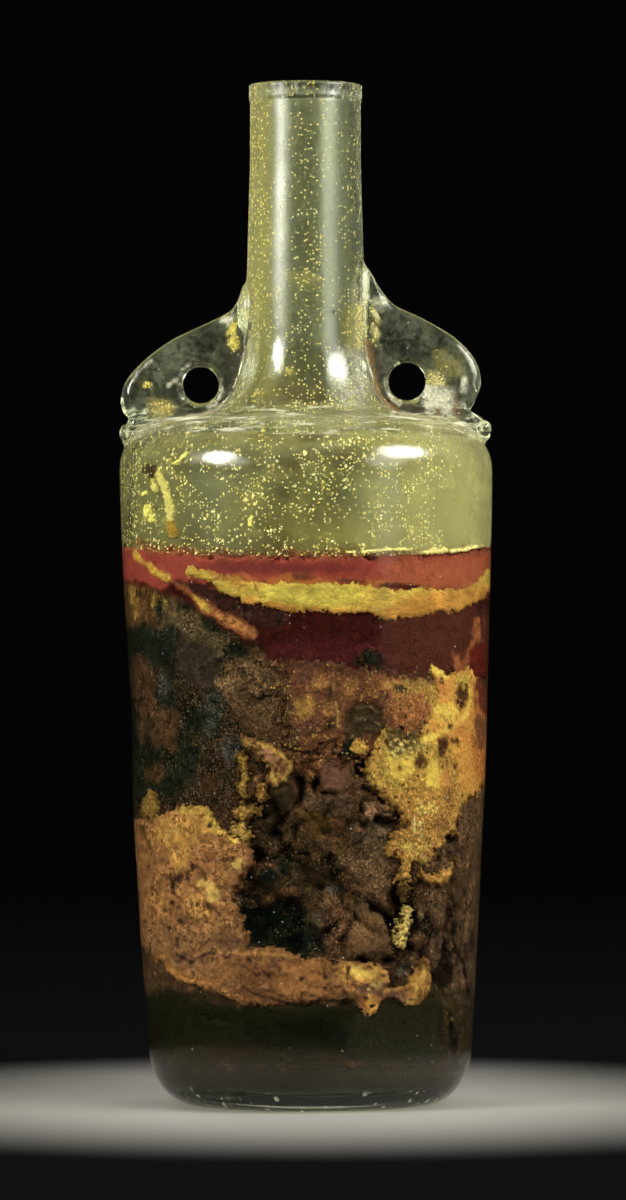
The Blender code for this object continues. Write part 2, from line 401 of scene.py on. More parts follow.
def kick(edge_radius, edge_height):
    """A shallow dome pushed up in the base, from its edge to the axis."""
    shares = np.linspace(0, 1, 9)[1:]
    heights = edge_height + KICK_RISE * np.sin(math.pi / 2 * shares)
    return list(zip(edge_radius * (1 - shares), heights))


def spread(profile, spacing):
    """The same profile with points as far apart as spacing(heights) says."""
    line = np.array(profile, float)
    run = np.concatenate([[0], np.cumsum(np.hypot(*np.diff(line, axis=0).T))])
    fine_run = np.linspace(0, run[-1], int(run[-1] / 0.1) + 2)
    fine = np.column_stack([np.interp(fine_run, run, line[:, axis]) for axis in (0, 1)])
    steps = np.diff(fine_run) / spacing((fine[1:, 1] + fine[:-1, 1]) / 2)
    count = np.concatenate([[0], np.cumsum(steps)])
    wanted = np.linspace(0, count[-1], int(round(count[-1])) + 1)
    return np.column_stack([np.interp(wanted, count, fine[:, axis]) for axis in (0, 1)])


def lean_at(heights):
    """How far the body's axis has drifted along X. The neck and shoulder stand true."""
    return LEAN * np.clip(1 - heights / SHOULDER_HEIGHT, 0, 1)


def fractal(points, size, octaves=3, seed=0.0, smoothness=0.9):
    """Fractal noise from about -1 to 1 at many points."""
    scaled = (np.asarray(points, float) / size + seed).reshape(-1, 3)
    values = [noise.fractal(point, smoothness, 2.1, octaves) for point in scaled.tolist()]
    return np.array(values).reshape(np.shape(points)[:-1])


def round_axis(turns, radii, heights):
    """Points round an upright axis, at azimuths from the front, positive to the viewer's right."""
    return np.stack([radii * np.sin(turns), -radii * np.cos(turns), heights], axis=-1)


def at_wall(turns, radii, heights):
    """The same points, where the axis leans."""
    points = round_axis(turns, radii, heights)
    points[..., 0] += lean_at(heights)
    return points


def unevenness(turns, heights):
    """How far the blown wall departs from the turned form."""
    away = np.angle(np.exp(1j * (turns - PINCH_ANGLE))) / PINCH_SPREAD
    pinch = -PINCH_DEPTH * np.exp(-(away**2) - ((heights - PINCH_HEIGHT) / PINCH_RISE) ** 2)
    around = round_axis(turns, NOISE_RADIUS, heights * NOISE_SQUASH)
    ripple = -RIPPLE_DEPTH * np.clip(0.5 + fractal(around, RIPPLE_SIZE, 2), 0, 1)
    up_neck = np.clip((CALM_HEIGHT - heights) / CALM_RISE, CALM_NECK, 1)
    fade = up_neck * np.clip(heights / CALM_FOOT, 0, 1)
    at_rim = np.clip((heights - HEIGHT + RIM_BAND) / CHIP_FADE, 0, 1)
    chipped = fractal(around * RIM_SQUEEZE, CHIP_SIZE, 3, 11.0)
    chips = -RIM_CHIPS * at_rim * np.clip(1.6 * chipped, 0, 1)
    return pinch + ripple * fade + chips


def sheet_faces(rows, columns, closed):
    """The faces of a grid of points, as rows of four point numbers."""
    number = np.arange(rows * columns).reshape(rows, columns)
    beside = np.roll(number, -1, axis=1)
    faces = np.stack([number[:-1], number[1:], beside[1:], beside[:-1]], axis=-1)
    return faces if closed else faces[:, :-1]


def capped_faces(rows, columns):
    """The faces of a closed grid, with a fan to one more point at its top and one at its foot."""
    faces = sheet_faces(rows, columns, True).reshape(-1, 4).tolist()
    count, last = rows * columns, (rows - 1) * columns
    for column in range(columns):
        beside = (column + 1) % columns
        faces += [(count, column, beside), (count + 1, last + beside, last + column)]
    return faces


def turned(name, profile, turns):
    """A closed solid that a profile sweeps round the axis, with the wall's unevenness."""
    turn, radii = np.meshgrid(turns, profile[:, 0])
    heights = np.repeat(profile[:, 1:], len(turns), axis=1)
    points = at_wall(turn, radii + unevenness(turn, heights), heights).reshape(-1, 3)
    ends = [[lean_at(height), 0, height] for height in profile[[0, -1], 1]]
    return mesh_object(name, np.vstack([points, ends]), capped_faces(len(profile), len(turns)))


def row_spacing(heights):
    """The height of a row of faces at a height of the outside."""
    fine = (heights > FINE_HEIGHTS[0]) & (heights < FINE_HEIGHTS[1])
    rim = heights > HEIGHT - 3 * RIM_BAND
    return np.where(rim, RIM_ROW, np.where(fine, FINE_ROW, COARSE_ROW))


def columns_round():
    """Azimuths round the bottle, closer together near both handles, which stand at its sides."""
    turns = []
    at = 0.0
    while at < 360.0:
        turns.append(at)
        from_handle = min(abs(at - 90), abs(at - 270))
        near = NEAR_TURN if from_handle < NEAR_REACH else COARSE_TURN
        at += FINE_TURN if from_handle < FINE_REACH else near
    return np.radians(turns)


# Each handle is a fin round a finger hole. An outline point is (out, up): out goes from 0 at the
# foot of the neck to 1 at the shoulder's radius, and up from 0 at the shoulder to 1 at the tail.
# The outline runs from the tail over the back to the snout, the chin, the throat and the toe.
FIN_THICKNESS = 8.6
SECTION_POWER = 2.6
SECTION_SIDES = 40
OUTLINE_STEPS = 8
HOLE_BEAD = 0.20
BEAD_PLACE = 0.12
BEAD_SPREAD = 0.10
WEB_HOLLOW = 0.16
FIN_LUMPS = 0.07
FIN_LUMP_SIZE = 10.0
FOLD_WIDTH = 1.05
FOLD_PROUD = 1.7
FOLD_SINK = 0.35
SWAY_START = 1.5
SWAY_LENGTH = 3.2
SWAY_SHIFT = 0.8
FOLD_FADE = 0.8
MELT_REACH = 2.4
MELT_ROUNDS = 9
MELT_DOUBLES = 0.12
LEFT_HANDLE = {
    "side": -1,
    "tail_rise": 39.0,
    "hole": (13.4, 9.9),
    "hole_radius": 5.4,
    "folds": ((51.9, 7.5), (48.4, 6.5), (45.2, 4.6)),
    "fold_sway": 1.0,
    "blobs": (((-17.6, 0.0, 237.5), (2.6, 6.4, 8.5)), ((-54.1, 0.0, 200.6), (1.7, 4.4, 2.6))),
    "outline": (
        (-0.01, 1.00), (0.11, 0.835), (0.30, 0.735), (0.57, 0.610), (0.79, 0.455), (0.935, 0.300),
        (0.985, 0.150), (0.965, 0.045), (0.925, -0.010), (0.985, -0.115), (0.94, -0.225),
    ),
}
RIGHT_HANDLE = {
    "side": 1,
    "tail_rise": 46.0,
    "hole": (12.4, 11.0),
    "hole_radius": 5.6,
    "folds": ((49.0, 8.5), (46.0, 7.8), (43.3, 6.4), (40.9, 5.2)),
    "fold_sway": 0.7,
    "blobs": (((17.4, 0.0, 243.0), (1.5, 4.6, 9.0)), ((53.6, 0.0, 202.0), (2.2, 4.4, 2.4))),
    "outline": (
        (-0.01, 1.00), (0.105, 0.860), (0.225, 0.742), (0.45, 0.652), (0.69, 0.535),
        (0.855, 0.395), (0.912, 0.240), (0.860, 0.105), (0.825, 0.035), (0.915, 0.005),
        (0.980, -0.080), (0.94, -0.165),
    ),
}
BURIED_OUTLINE = ((0.62, -0.26), (0.20, -0.13), (-0.14, 0.05), (-0.22, 0.45), (-0.20, 0.92))


def smooth_loop(points, steps):
    """A closed Catmull-Rom curve through the points, with steps points for each stretch."""
    a, b, c, d = (np.roll(np.array(points, float), shift, axis=0) for shift in (1, 0, -1, -2))
    stretches = []
    for t in np.arange(steps) / steps:
        bent = (2 * a - 5 * b + 4 * c - d) * t**2 + (3 * b - a - 3 * c + d) * t**3
        stretches.append(0.5 * (2 * b + (c - a) * t + bent))
    return np.stack(stretches, axis=1).reshape(-1, 2)


def crossing(loop, centre, angle):
    """Where a ray from the centre meets the loop furthest out."""
    ray = np.array([math.cos(angle), math.sin(angle)])
    edge = np.roll(loop, -1, axis=0) - loop
    off = loop - centre
    across = ray[0] * edge[:, 1] - ray[1] * edge[:, 0]
    across[across == 0] = 1e-12
    distance = (off[:, 0] * edge[:, 1] - off[:, 1] * edge[:, 0]) / across
    share = (off[:, 0] * ray[1] - off[:, 1] * ray[0]) / across
    met = (share >= -1e-6) & (share <= 1 + 1e-6) & (distance > 0)
    return centre + ray * distance[met].max()


def rounded(value):
    """A superellipse's coordinate for a sine or cosine."""
    return math.copysign(abs(value) ** (2 / SECTION_POWER), value)


def fin(name, handle):
    """One handle: sections stood round the hole, hollowed in the web and pinched at the head."""
    neck_foot = np.array([NECK_FOOT_RADIUS, SHOULDER_HEIGHT])
    span = np.array([SHOULDER_RADIUS - NECK_FOOT_RADIUS, handle["tail_rise"]])
    loop = smooth_loop(neck_foot + (*handle["outline"], *BURIED_OUTLINE) * span, OUTLINE_STEPS)
    centre = neck_foot + handle["hole"]
    points = []
    for angle in np.sort(np.arctan2(*(loop - centre).T[::-1])):
        outer = crossing(loop, centre, angle)
        inner = centre + (outer - centre) / np.linalg.norm(outer - centre) * handle["hole_radius"]
        heart, reach = (outer + inner) / 2, (outer - inner) / 2
        for side in range(SECTION_SIDES):
            turn = math.tau * side / SECTION_SIDES
            place = heart + reach * rounded(math.cos(turn))
            share = (1 + math.cos(turn)) / 2
            bead = HOLE_BEAD * math.exp(-(((share - BEAD_PLACE) / BEAD_SPREAD) ** 2))
            web = 1 + bead - WEB_HOLLOW * math.sin(math.pi * share) ** 2
            half = FIN_THICKNESS / 2 * rounded(math.sin(turn)) * web
            points.append((handle["side"] * place[0], half, place[1]))
    points = np.array(points)
    points[:, 1] *= 1 + FIN_LUMPS * fractal(points, FIN_LUMP_SIZE, 2, 5.0)
    pinch_folds(points, handle)
    ring = np.arange(len(points)).reshape(-1, SECTION_SIDES)
    after = np.roll(ring, -1, axis=0)
    faces = np.stack([ring, after, np.roll(after, -1, axis=1), np.roll(ring, -1, axis=1)], axis=-1)
    return facing_out(mesh_object(name, points, faces.reshape(-1, 4).tolist()))


def pinch_folds(points, handle):
    """Upright swaying folds pressed into both faces of the fin's head."""
    for index, (out, crest) in enumerate(handle["folds"]):
        up = points[:, 2] - SHOULDER_HEIGHT
        sway = handle["fold_sway"] * np.sin((up - SWAY_START) / SWAY_LENGTH + SWAY_SHIFT * index)
        away = (handle["side"] * points[:, 0] - out - sway) / FOLD_WIDTH
        window = 1 / (1 + np.exp((up - crest) / FOLD_FADE))
        ridge = FOLD_PROUD * np.exp(-(away**2)) * window
        flat = np.clip(np.abs(points[:, 1]) / (FIN_THICKNESS / 2), 0, 1)
        points[:, 1] += np.sign(points[:, 1]) * (ridge - FOLD_SINK * FOLD_PROUD * window) * flat


def facing_out(made):
    """The same object with its faces turned outwards."""
    with edited(made.data) as shape:
        bmesh.ops.recalc_face_normals(shape, faces=shape.faces)
    return made


def blob(name, centre, halves):
    """A lump of glass where a trail was stuck on or nipped off."""
    made = mesh_object(name, [], [])
    with edited(made.data) as shape:
        bmesh.ops.create_icosphere(shape, subdivisions=4, radius=1.0)
        for vertex in shape.verts:
            vertex.co = Vector(c * MM + p * h * MM for c, p, h in zip(centre, vertex.co, halves))
    return made


def combined(made, others, operation):
    """Joins the others to an object, or cuts them out of it, and removes them."""
    for other in others:
        boolean = made.modifiers.new(other.name, "BOOLEAN")
        boolean.operation = operation
        boolean.solver = "EXACT"
        boolean.object = other
    graph = bpy.context.evaluated_depsgraph_get()
    mesh = bpy.data.meshes.new_from_object(made.evaluated_get(graph))
    made.modifiers.clear()
    made.data = mesh
    for other in others:
        bpy.data.objects.remove(other)


def off_edges(x, z, corners):
    """How far places are from a line through corners."""
    line = np.array(corners, float)
    best = np.full(np.shape(x), np.inf)
    for (ax, az), (ex, ez) in zip(line, np.diff(line, axis=0)):
        share = np.clip(((x - ax) * ex + (z - az) * ez) / max(ex * ex + ez * ez, 1e-9), 0, 1)
        best = np.minimum(best, np.hypot(x - ax - share * ex, z - az - share * ez))
    return best


def coordinates(items, field="co"):
    """The places of a mesh's points or faces, in millimetres."""
    flat = np.empty(len(items) * 3)
    items.foreach_get(field, flat)
    return flat.reshape(-1, 3) / MM


def from_axis(points):
    """How far points are from the leaning axis, and their heights."""
    return np.hypot(points[:, 0] - lean_at(points[:, 2]), points[:, 1]), points[:, 2]


outside_line = outer_profile()
ring_inner = FOOT_RADIUS - HEEL_WIDTH - REST_RING_WIDTH
outside_whole = [*outside_line, (ring_inner, 0.0), *kick(ring_inner, 0.0)]
inside_line = inner_profile()
inside_whole = [(inside_line[0][0], HEIGHT + MOUTH_CLEAR), *inside_line, *kick(*inside_line[-1])]
outside_rows = spread(outside_whole, row_spacing)
inside_rows = spread(
    inside_whole, lambda heights: np.where(heights > FINE_HEIGHTS[0], HOLLOW_ROW, COARSE_ROW)
)
vessel = turned("blown_bottle", outside_rows[:-1], columns_round())
trails = []
for side_name, handle in (("left", LEFT_HANDLE), ("right", RIGHT_HANDLE)):
    trails.append(fin(side_name + "_fin", handle))
    for index, (centre, halves) in enumerate(handle["blobs"]):
        trails.append(blob(f"{side_name}_blob_{index}", centre, halves))
trail_trees = []
for trail in trails:
    with edited(trail.data) as shape:
        trail_trees.append(BVHTree.FromBMesh(shape))
combined(vessel, trails, "UNION")
hollow = turned("hollow", inside_rows[:-1], np.radians(np.arange(0, 360, HOLLOW_TURN)))
combined(vessel, [hollow], "DIFFERENCE")

# The creases where the trails meet the body are softened, as the hot glass flowed together.
with edited(vessel.data) as shape:
    points = np.array([vertex.co for vertex in shape.verts]) / MM
    joins = []
    for vertex, away in zip(list(shape.verts), off_edges(*from_axis(points), outside_line)):
        if away > MELT_REACH or not FINE_HEIGHTS[0] < vertex.co.z / MM < FINE_HEIGHTS[1]:
            continue
        found = [tree.find_nearest(vertex.co, MELT_REACH * MM) for tree in trail_trees]
        if any(hit[3] is not None for hit in found):
            joins.append(vertex)
    bmesh.ops.remove_doubles(shape, verts=joins, dist=MELT_DOUBLES * MM)
    joins = [vertex for vertex in joins if vertex.is_valid]
    touching = list({face for vertex in joins for face in vertex.link_faces})
    bmesh.ops.triangulate(shape, faces=touching)
    for _ in range(MELT_ROUNDS):
        bmesh.ops.smooth_vert(
            shape, verts=joins, factor=0.5, use_axis_x=True, use_axis_y=True, use_axis_z=True
        )
vessel.data.shade_smooth()


# Shapes for what is painted on the glass and the contents: each is a function that says how far
# inside it places (across, up) are, in millimetres, with less than nothing for outside.
FAR_OUT = -60.0
PATCH_REACH = 6.0
RAGGED_MOST = 1.6


def in_pairs(numbers):
    return np.reshape(np.array(numbers, float), (-1, 2))


def patch(*numbers, rounds=3):
    """A shape whose rounded outline runs past these places, given as across, up, across, up."""
    loop = smooth_loop(in_pairs(numbers), rounds)
    outline = np.vstack([loop, loop[:1]])
    low, high = loop.min(axis=0) - PATCH_REACH, loop.max(axis=0) + PATCH_REACH

    def inside(across, up):
        depth = np.full(across.shape, FAR_OUT)
        near = (across > low[0]) & (across < high[0]) & (up > low[1]) & (up < high[1])
        x, z = across[near], up[near]
        within = np.zeros(len(x), bool)
        for (ax, az), (bx, bz) in zip(outline, outline[1:]):
            if az != bz:
                crossed = (az > z) != (bz > z)
                within ^= crossed & (x < (bx - ax) * (z - az) / (bz - az) + ax)
        away = off_edges(x, z, outline)
        depth[near] = np.where(within, away, -away)
        return depth

    return inside


def oval(x, z, half_width, half_height, tilt=0.0):
    """A soft oval spot."""
    cos, sin = math.cos(math.radians(tilt)), math.sin(math.radians(tilt))

    def inside(across, up):
        along = ((across - x) * cos + (up - z) * sin) / half_width
        over = ((up - z) * cos - (across - x) * sin) / half_height
        return (1 - np.hypot(along, over)) * min(half_width, half_height)

    return inside


def stroke(width, *numbers):
    """A line of this width through these places."""
    return lambda across, up: width / 2 - off_edges(across, up, in_pairs(numbers))


def between(top, bottom):
    """A band between two lines, each through places from left to right."""
    high, low = in_pairs(top).T, in_pairs(bottom).T
    return lambda across, up: np.minimum(
        np.interp(across, *high) - up, up - np.interp(across, *low)
    )


def several(*shapes):
    """All these shapes as one."""
    return lambda across, up: np.max([shape(across, up) for shape in shapes], axis=0)


def spots(half_width, half_height, *numbers):
    """Ovals of one size at these places."""
    return several(*(oval(x, z, half_width, half_height) for x, z in in_pairs(numbers)))


def step_up(value, low, high):
    """0 below low, 1 above high, and a smooth step between them."""
    share = np.clip((value - low) / (high - low), 0, 1)
    return share * share * (3 - 2 * share)


def covered(across, up, ragged, soft, shapes):
    """How far shapes with a soft and ragged edge cover places, from 0 to 1."""
    inside = several(*shapes)(across, up) + ragged * min(soft, RAGGED_MOST)
    return step_up(inside, -soft / 2, soft / 2)


def painted(across, up, ragged, base, marks):
    """Colours of places: a base colour, then marks (colour, softness, shapes) laid over it. A
    fourth number in a colour says how crumbly the place is."""
    paint = np.empty((*across.shape, 4))
    paint[:] = (*base, 1.0)[:4]
    for colour, soft, *shapes in marks:
        cover = covered(across, up, ragged, soft, shapes)
        paint += cover[..., None] * (np.array((*colour, 1.0)[:4]) - paint)
    return paint


def colour_points(mesh, paint):
    """Stores the colours with the mesh's points, for its material."""
    layer = mesh.color_attributes.new("paint", "FLOAT_COLOR", "POINT")
    layer.data.foreach_set("color", np.asarray(paint).ravel())


# Stains on the outside, by how much of each film lies there: rust, yellow, pale and dim. The pale
# film also carries painted highlights on the fins.
RUSTY = (0.20, 0.105, 0.05)
YELLOWED = (0.62, 0.50, 0.12)
PALE = (0.85, 0.82, 0.66)
DIM = (0.06, 0.05, 0.04)
RUST_LINE = [17.9, 228.6, 19.1, 223.5, 20.4, 219, 21.6, 213.1, 24.1, 209.7, 27.5, 207.2]
DARK_LINE = [-16.6, 233.4, -17, 230, -17.8, 227.6, -19.1, 224.2, -20.8, 219.2, -22, 214.2,
    -23.3, 211.5]
STAINS_AND_HIGHLIGHTS = (
    ((0, 0.07, 0, 0), 5, patch(-18, 306, -12.5, 306, -11, 270, -11.5, 245, -12.5, 236, -18, 236)),
    ((0, 0.2, 0, 0), 2, patch(-5, 248.5, 4, 247, 3, 245, -5, 246)),
    ((0, 0.08, 0, 0), 2, patch(-22, 199.5, -8, 200.4, 10, 199.8, 20, 198.4, 20, 196, -6, 197,
        -20, 196.5)),
    ((0, 0, 0.22, 0), 5, patch(8, 222, 14, 227, 18, 216, 18, 208, 9, 208)),
    ((0.1, 0.03, 0, 0), 3, patch(12, 237, 15, 236, 15, 226, 12.5, 227)),
    ((0, 0, 0, 0.4), 2, patch(20.5, 225, 24.5, 224, 24.2, 211, 21.8, 212),
        patch(27, 209.4, 35, 208.6, 35, 205.8, 28, 206.6),
        patch(-22.5, 225, -19.5, 225, -21, 215, -23, 216)),
    ((0, 0.5, 0, 0), 1.5, stroke(1.4, 16.2, 238, 16.1, 232, 15.8, 226)),
    ((0, 0.5, 0.2, 0), 1.0, stroke(1.2, 21, 236, 21, 227)),
    ((0, 0.12, 0, 0), 3, patch(38.8, 226, 46.7, 222, 46.5, 217.5, 40, 219)),
    ((0, 0.3, 0.1, 0), 2, patch(36.7, 219, 41, 218, 42.1, 215, 38, 214.3)),
    ((0, 0, 0.5, 0), 2.5, patch(35.4, 213.5, 38, 214.6, 43.8, 213.4, 44, 208, 40, 206.4,
        36.5, 207)),
    ((0.15, 0.3, 0, 0), 2.5, patch(-46.7, 210.4, -40.4, 210, -40, 206, -46, 206)),
    ((0.6, 0, 0, 0), 1, oval(39.6, 207, 1, 1.2), oval(45.1, 209, 0.6, 3)),
    # Painted highlights: pale spots and a streak where the fins' roots and the right toe catch the
    # light.
    ((0, 0, 0.75, 0), 1.2, oval(21.2, 238.2, 1.6, 1.6), oval(23.1, 239.9, 1.2, 1.0),
        oval(47.6, 215.4, 0.6, 1.9), stroke(1.3, -24.6, 234.6, -21.6, 234)),
    # Painted highlights, partly white deposit: pale lines along the fins' rims, hole edges and
    # folds.
    ((0, 0, 0.5, 0), 0.8, stroke(0.8, 18.5, 249.5, 18.4, 241),
        stroke(0.8, 46.3, 226.6, 49.4, 222.6, 51.2, 217.8),
        stroke(0.6, 23.7, 217, 24, 213.6, 25.9, 210.4, 28.6, 209),
        stroke(0.7, 41.9, 206.5, 41.8, 205), stroke(0.9, 44, 208.7, 44, 206.6),
        stroke(0.6, 47.2, 209.6, 47.4, 208), stroke(0.6, -17, 240.4, -17, 238.8),
        stroke(0.5, -34.6, 221, -36.6, 219.4, -37.6, 217.6),
        stroke(0.6, -25.2, 216.7, -25, 213, -26.8, 209.4, -29.1, 208.2),
        stroke(0.6, -37, 211.6, -35.8, 209.9), stroke(0.8, -52, 215.9, -50.1, 219.2, -46.3, 222.2),
        stroke(0.7, -51.5, 208, -51.5, 205.8), stroke(0.7, -48.2, 208, -48.2, 206.3),
        stroke(0.6, -41.3, 214.6, -38.6, 216.8)),
    ((0.3, 0, 0.3, 0), 0.8, stroke(0.7, 28.7, 206.8, 33, 205.6, 41.3, 204.3, 48.4, 201.8,
        52.2, 200.1), stroke(0.7, -24.5, 208.8, -28.7, 206.7, -37, 205, -45.4, 203.7,
        -50.5, 200.8)),
    ((1, 0, 0, 0), 0.8, stroke(1.0, *RUST_LINE)),
    ((0, 0, 0, 1), 0.9, stroke(1.1, *DARK_LINE), stroke(0.8, -25, 226.8, -22, 227.3, -20, 226),
        oval(8.5, 236, 0.8, 0.8)),
    ((0, 1, 0, 0), 1.0, stroke(1.8, -22, 231.8, -21.9, 229, -21.4, 226.4),
        oval(-14.5, 212.2, 0.7, 0.8), oval(-5, 218.5, 0.6, 0.6), oval(-47.6, 215.1, 0.7, 0.6)),
)


GLASS_TINT = (0.80, 0.84, 0.62)
LAMP_TINT = (0.93, 0.95, 0.84)
GLASS_INDEX = 1.5
WEATHERED = (0.34, 0.37, 0.25)
OIL_FILM = (0.42, 0.37, 0.14)
GREY_FILM = (0.33, 0.35, 0.19)
PALE_FILM = (0.50, 0.46, 0.23)
SHOULDER_HIGHLIGHT = (0.78, 0.78, 0.58)
WHITE_DUST = (0.7, 0.68, 0.62)
CRUMB = (0.98, 0.92, 0.48)
GOLD_CRUMB = (0.62, 0.50, 0.11)
GILT = (0.88, 0.74, 0.24)
FILM_GLOW = 0.45
LIQUID_LINE = 163.4
LIQUID_CREEP = 3.2
LIQUID_RADIUS = 52.0
WET_INDEX = 1.11


def laid_over(skin, amount, film):
    """One surface with another over it, as much as amount says."""
    return skin.node("MixShader", Fac=amount, Shader=skin, Shader_001=film)


def thin_film(wire, colour):
    """A powdery skin that is lit from either side."""
    lit = wire.node("BsdfDiffuse", Color=colour)
    return laid_over(lit, FILM_GLOW, wire.node("BsdfTranslucent", Color=colour))


def filmed(skin, amount, colour):
    """A surface with a thin film of this colour over it, as much as amount says."""
    return laid_over(skin, amount, thin_film(skin, colour))


def clear_to_lamps(skin):
    """The same surface, but one that lets the lamps' light straight through to what is behind."""
    shadow = skin.node("LightPath", output="Is Shadow Ray")
    return laid_over(skin, shadow, skin.node("BsdfTransparent", Color=LAMP_TINT))


def glass(wire, colour, roughness, index, **more):
    """Clear glass."""
    return wire.node(
        "BsdfPrincipled",
        Base_Color=colour,
        Roughness=roughness,
        IOR=index,
        Transmission_Weight=1.0,
        **more,
    )


def stored_paint(wire):
    """The colours stored with the mesh: the colour, and its fourth number."""
    return [
        wire.node("Attribute", {"attribute_name": "paint"}, output=output)
        for output in ("Color", "Alpha")
    ]


def stretched(place, factors):
    """The same coordinates times one factor for each axis."""
    return place.vector("MULTIPLY", Vector=place, Vector_001=factors)


def warped(place, size, amount):
    """The same coordinates, pushed about by noise, so that shapes drawn with them turn ragged."""
    push = place.node("TexNoise", output="Color", Vector=place, Scale=1 / size, Detail=2.0)
    centred = place.vector("SUBTRACT", Vector=push, Vector_001=(0.5, 0.5, 0.5))
    moved = place.vector("SCALE", Vector=centred, Scale=amount)
    return place.vector("ADD", Vector=place, Vector_001=moved)


def flecks(place, spacing, share, size, cluster):
    """Crumbs scattered in a share of the cells of this spacing, 1 inside a crumb. A cluster value
    above 0 adds more of them."""
    cell = place.node("TexVoronoi", output="Distance", Vector=place, Scale=1 / spacing)
    lot = place.node("TexVoronoi", output="Color", Vector=place, Scale=1 / spacing)
    drawn = lot.node("SeparateColor", output="Red", Color=lot)
    return (1 - rise(cell, size * 0.6, size)) * rise(drawn + cluster, 1 - share, 1.04 - share)


def clusters(place, size, strength):
    """Where crumbs gather, for flecks."""
    return (cloud(place, size, 3.0) - 0.5) * strength


# Outside: clear glass, then weathering haze, pale streaks on the shoulder that are painted
# highlights, the stains with painted highlights among the pale ones, gold specks, white dust, and
# pale chips round the foot, each as a thin film over what is below it.
outer_wire = start("olive_glass")
outer_place = in_mm(outer_wire)
outer_side, outer_back, outer_height = (outer_place.along(axis) for axis in "XYZ")
on_neck = rise(outer_height, 224.0, 244.0)
on_rim = rise(outer_height, 299.6, 301.0)
on_head = rise(outer_height, 164.0, 174.0)
on_shoulder = rise(outer_height, 197.0, 201.0) * (1 - rise(outer_height, 206.5, 210.0))
on_foot = 1 - rise(outer_height, 4.0, 8.0)
on_fins = rise(outer_side * outer_side, 17.5**2, 20.5**2)
outer_rough = 0.09 + on_head * rise(outer_back, 8.0, 30.0) * 0.16 + on_neck * 0.165
outer_bump = outer_wire.node(
    "Bump", Strength=0.35, Distance=0.0005, Height=cloud(outer_place, 7.0, 3.0)
)
outer_skin = glass(outer_wire, GLASS_TINT, outer_rough, GLASS_INDEX, Normal=outer_bump)
outer_patchy = rise(cloud(warped(outer_place, 20.0, 9.0), 13.0, 5.0, 0.7), 0.40, 0.72)
outer_fine = 0.3 + 1.4 * rise(cloud(outer_place, 1.4, 4.0, 0.7), 0.38, 0.62)
outer_haze = (0.03 + outer_patchy * (0.17 - 0.10 * on_neck + 0.5 * on_rim)) * outer_fine
outer_skin = filmed(outer_skin, outer_haze * rise(outer_height, 165.0, 206.0), WEATHERED)
# Painted highlights: pale wavy streaks along the top of the shoulder.
flattened = stretched(outer_place, (0.14, 0.14, 1.0))
shoulder_highlights = rise(cloud(warped(flattened, 6.0, 2.5), 1.7, 4.0, 0.6), 0.52, 0.70)
outer_skin = filmed(outer_skin, shoulder_highlights * on_shoulder * 0.75, SHOULDER_HIGHLIGHT)
# The pale film here also lays on the painted highlights of the fins.
stain_and_highlight, dim = stored_paint(outer_wire)
rusty, yellowed, pale = (
    outer_wire.node("SeparateColor", output=channel, Color=stain_and_highlight)
    for channel in ("Red", "Green", "Blue")
)
stain_and_highlight_grain = rise(cloud(warped(outer_place, 2.4, 1.6), 1.3, 4.0, 0.65), 0.36, 0.60)
for share, stain_and_highlight_colour in ((yellowed, YELLOWED), (pale, PALE), (rusty, RUSTY), (dim, DIM)):
    outer_skin = filmed(outer_skin, share * (0.2 + 1.0 * stain_and_highlight_grain), stain_and_highlight_colour)
up_front = rise(outer_side, -9.0, -3.0) * (1 - rise(outer_side, 3.0, 7.0)) * 0.22
outer_cluster = clusters(outer_place, 7.0, 1.6) + up_front
gilt = flecks(outer_place, 0.92, 0.23, 0.36, outer_cluster + yellowed * 4.0 - on_fins * 0.5)
behind = rise(outer_back, 6.0, 16.0) * on_head
gilt = gilt * behind.maths("MAXIMUM", behind, rise(outer_height, 203.0, 210.0))
outer_skin = filmed(outer_skin, gilt * 0.85, GILT)
white_dust = flecks(warped(outer_place, 2.0, 1.0), 2.2, 0.16, 0.13, 0.0)
outer_skin = filmed(outer_skin, white_dust * 0.6, WHITE_DUST)
tall = warped(stretched(outer_place, (1.0, 1.0, 0.3)), 1.5, 1.2)
chips = flecks(tall, 2.6, 0.22, 0.34, (cloud(outer_place, 11.0, 2.0) - 0.5) * 1.8)
outer_skin = filmed(outer_skin, chips * on_foot * 0.7, PALE)

# Inside: bare against the liquid, and above the liquid's line a dried film with crumbs in it.
inner_wire = start("oiled_glass")
inner_place = in_mm(inner_wire)
inner_side, inner_back, inner_height = (inner_place.along(axis) for axis in "XYZ")
side_share = inner_side * inner_side / LIQUID_RADIUS**2
line_height = side_share * side_share * LIQUID_CREEP + LIQUID_LINE
dry = rise(inner_height - line_height, -0.15, 0.15)
in_neck = rise(inner_height, 200.0, 222.0)
to_right = rise(inner_side, 8.0, 38.0) * (1 - in_neck)
inner_rough = 0.12 + rise(inner_back, 6.0, 12.0) * 0.2
dry_skin = glass(inner_wire, GLASS_TINT, inner_rough, GLASS_INDEX)
film = laid_over(
    thin_film(inner_wire, OIL_FILM),
    in_neck * rise(inner_side, -12.0, 2.0),
    thin_film(inner_wire, GREY_FILM),
)
patchy = cloud(warped(inner_place, 5.0, 3.0), 12.0, 5.0, 0.65)
film_in_head = 0.02 + 0.16 * rise(patchy, 0.42, 0.62) + 0.28 * to_right
neck_patches = 0.10 * rise(patchy, 0.38, 0.8) * (1 - rise(inner_side, 6.0, 11.0))
film_in_neck = 0.02 + neck_patches + 0.17 * rise(-1.0 * inner_side, 6.0, 12.0)
film_amount = film_in_head * (1 - in_neck) + film_in_neck * in_neck
dry_skin = laid_over(dry_skin, film_amount, filmed(film, to_right, PALE_FILM))
cluster = clusters(inner_place, 8.0, 2.4) - in_neck * 0.5
smooth_side = rise(inner_side, 36.0, 44.0) * (1 - in_neck) * 0.5
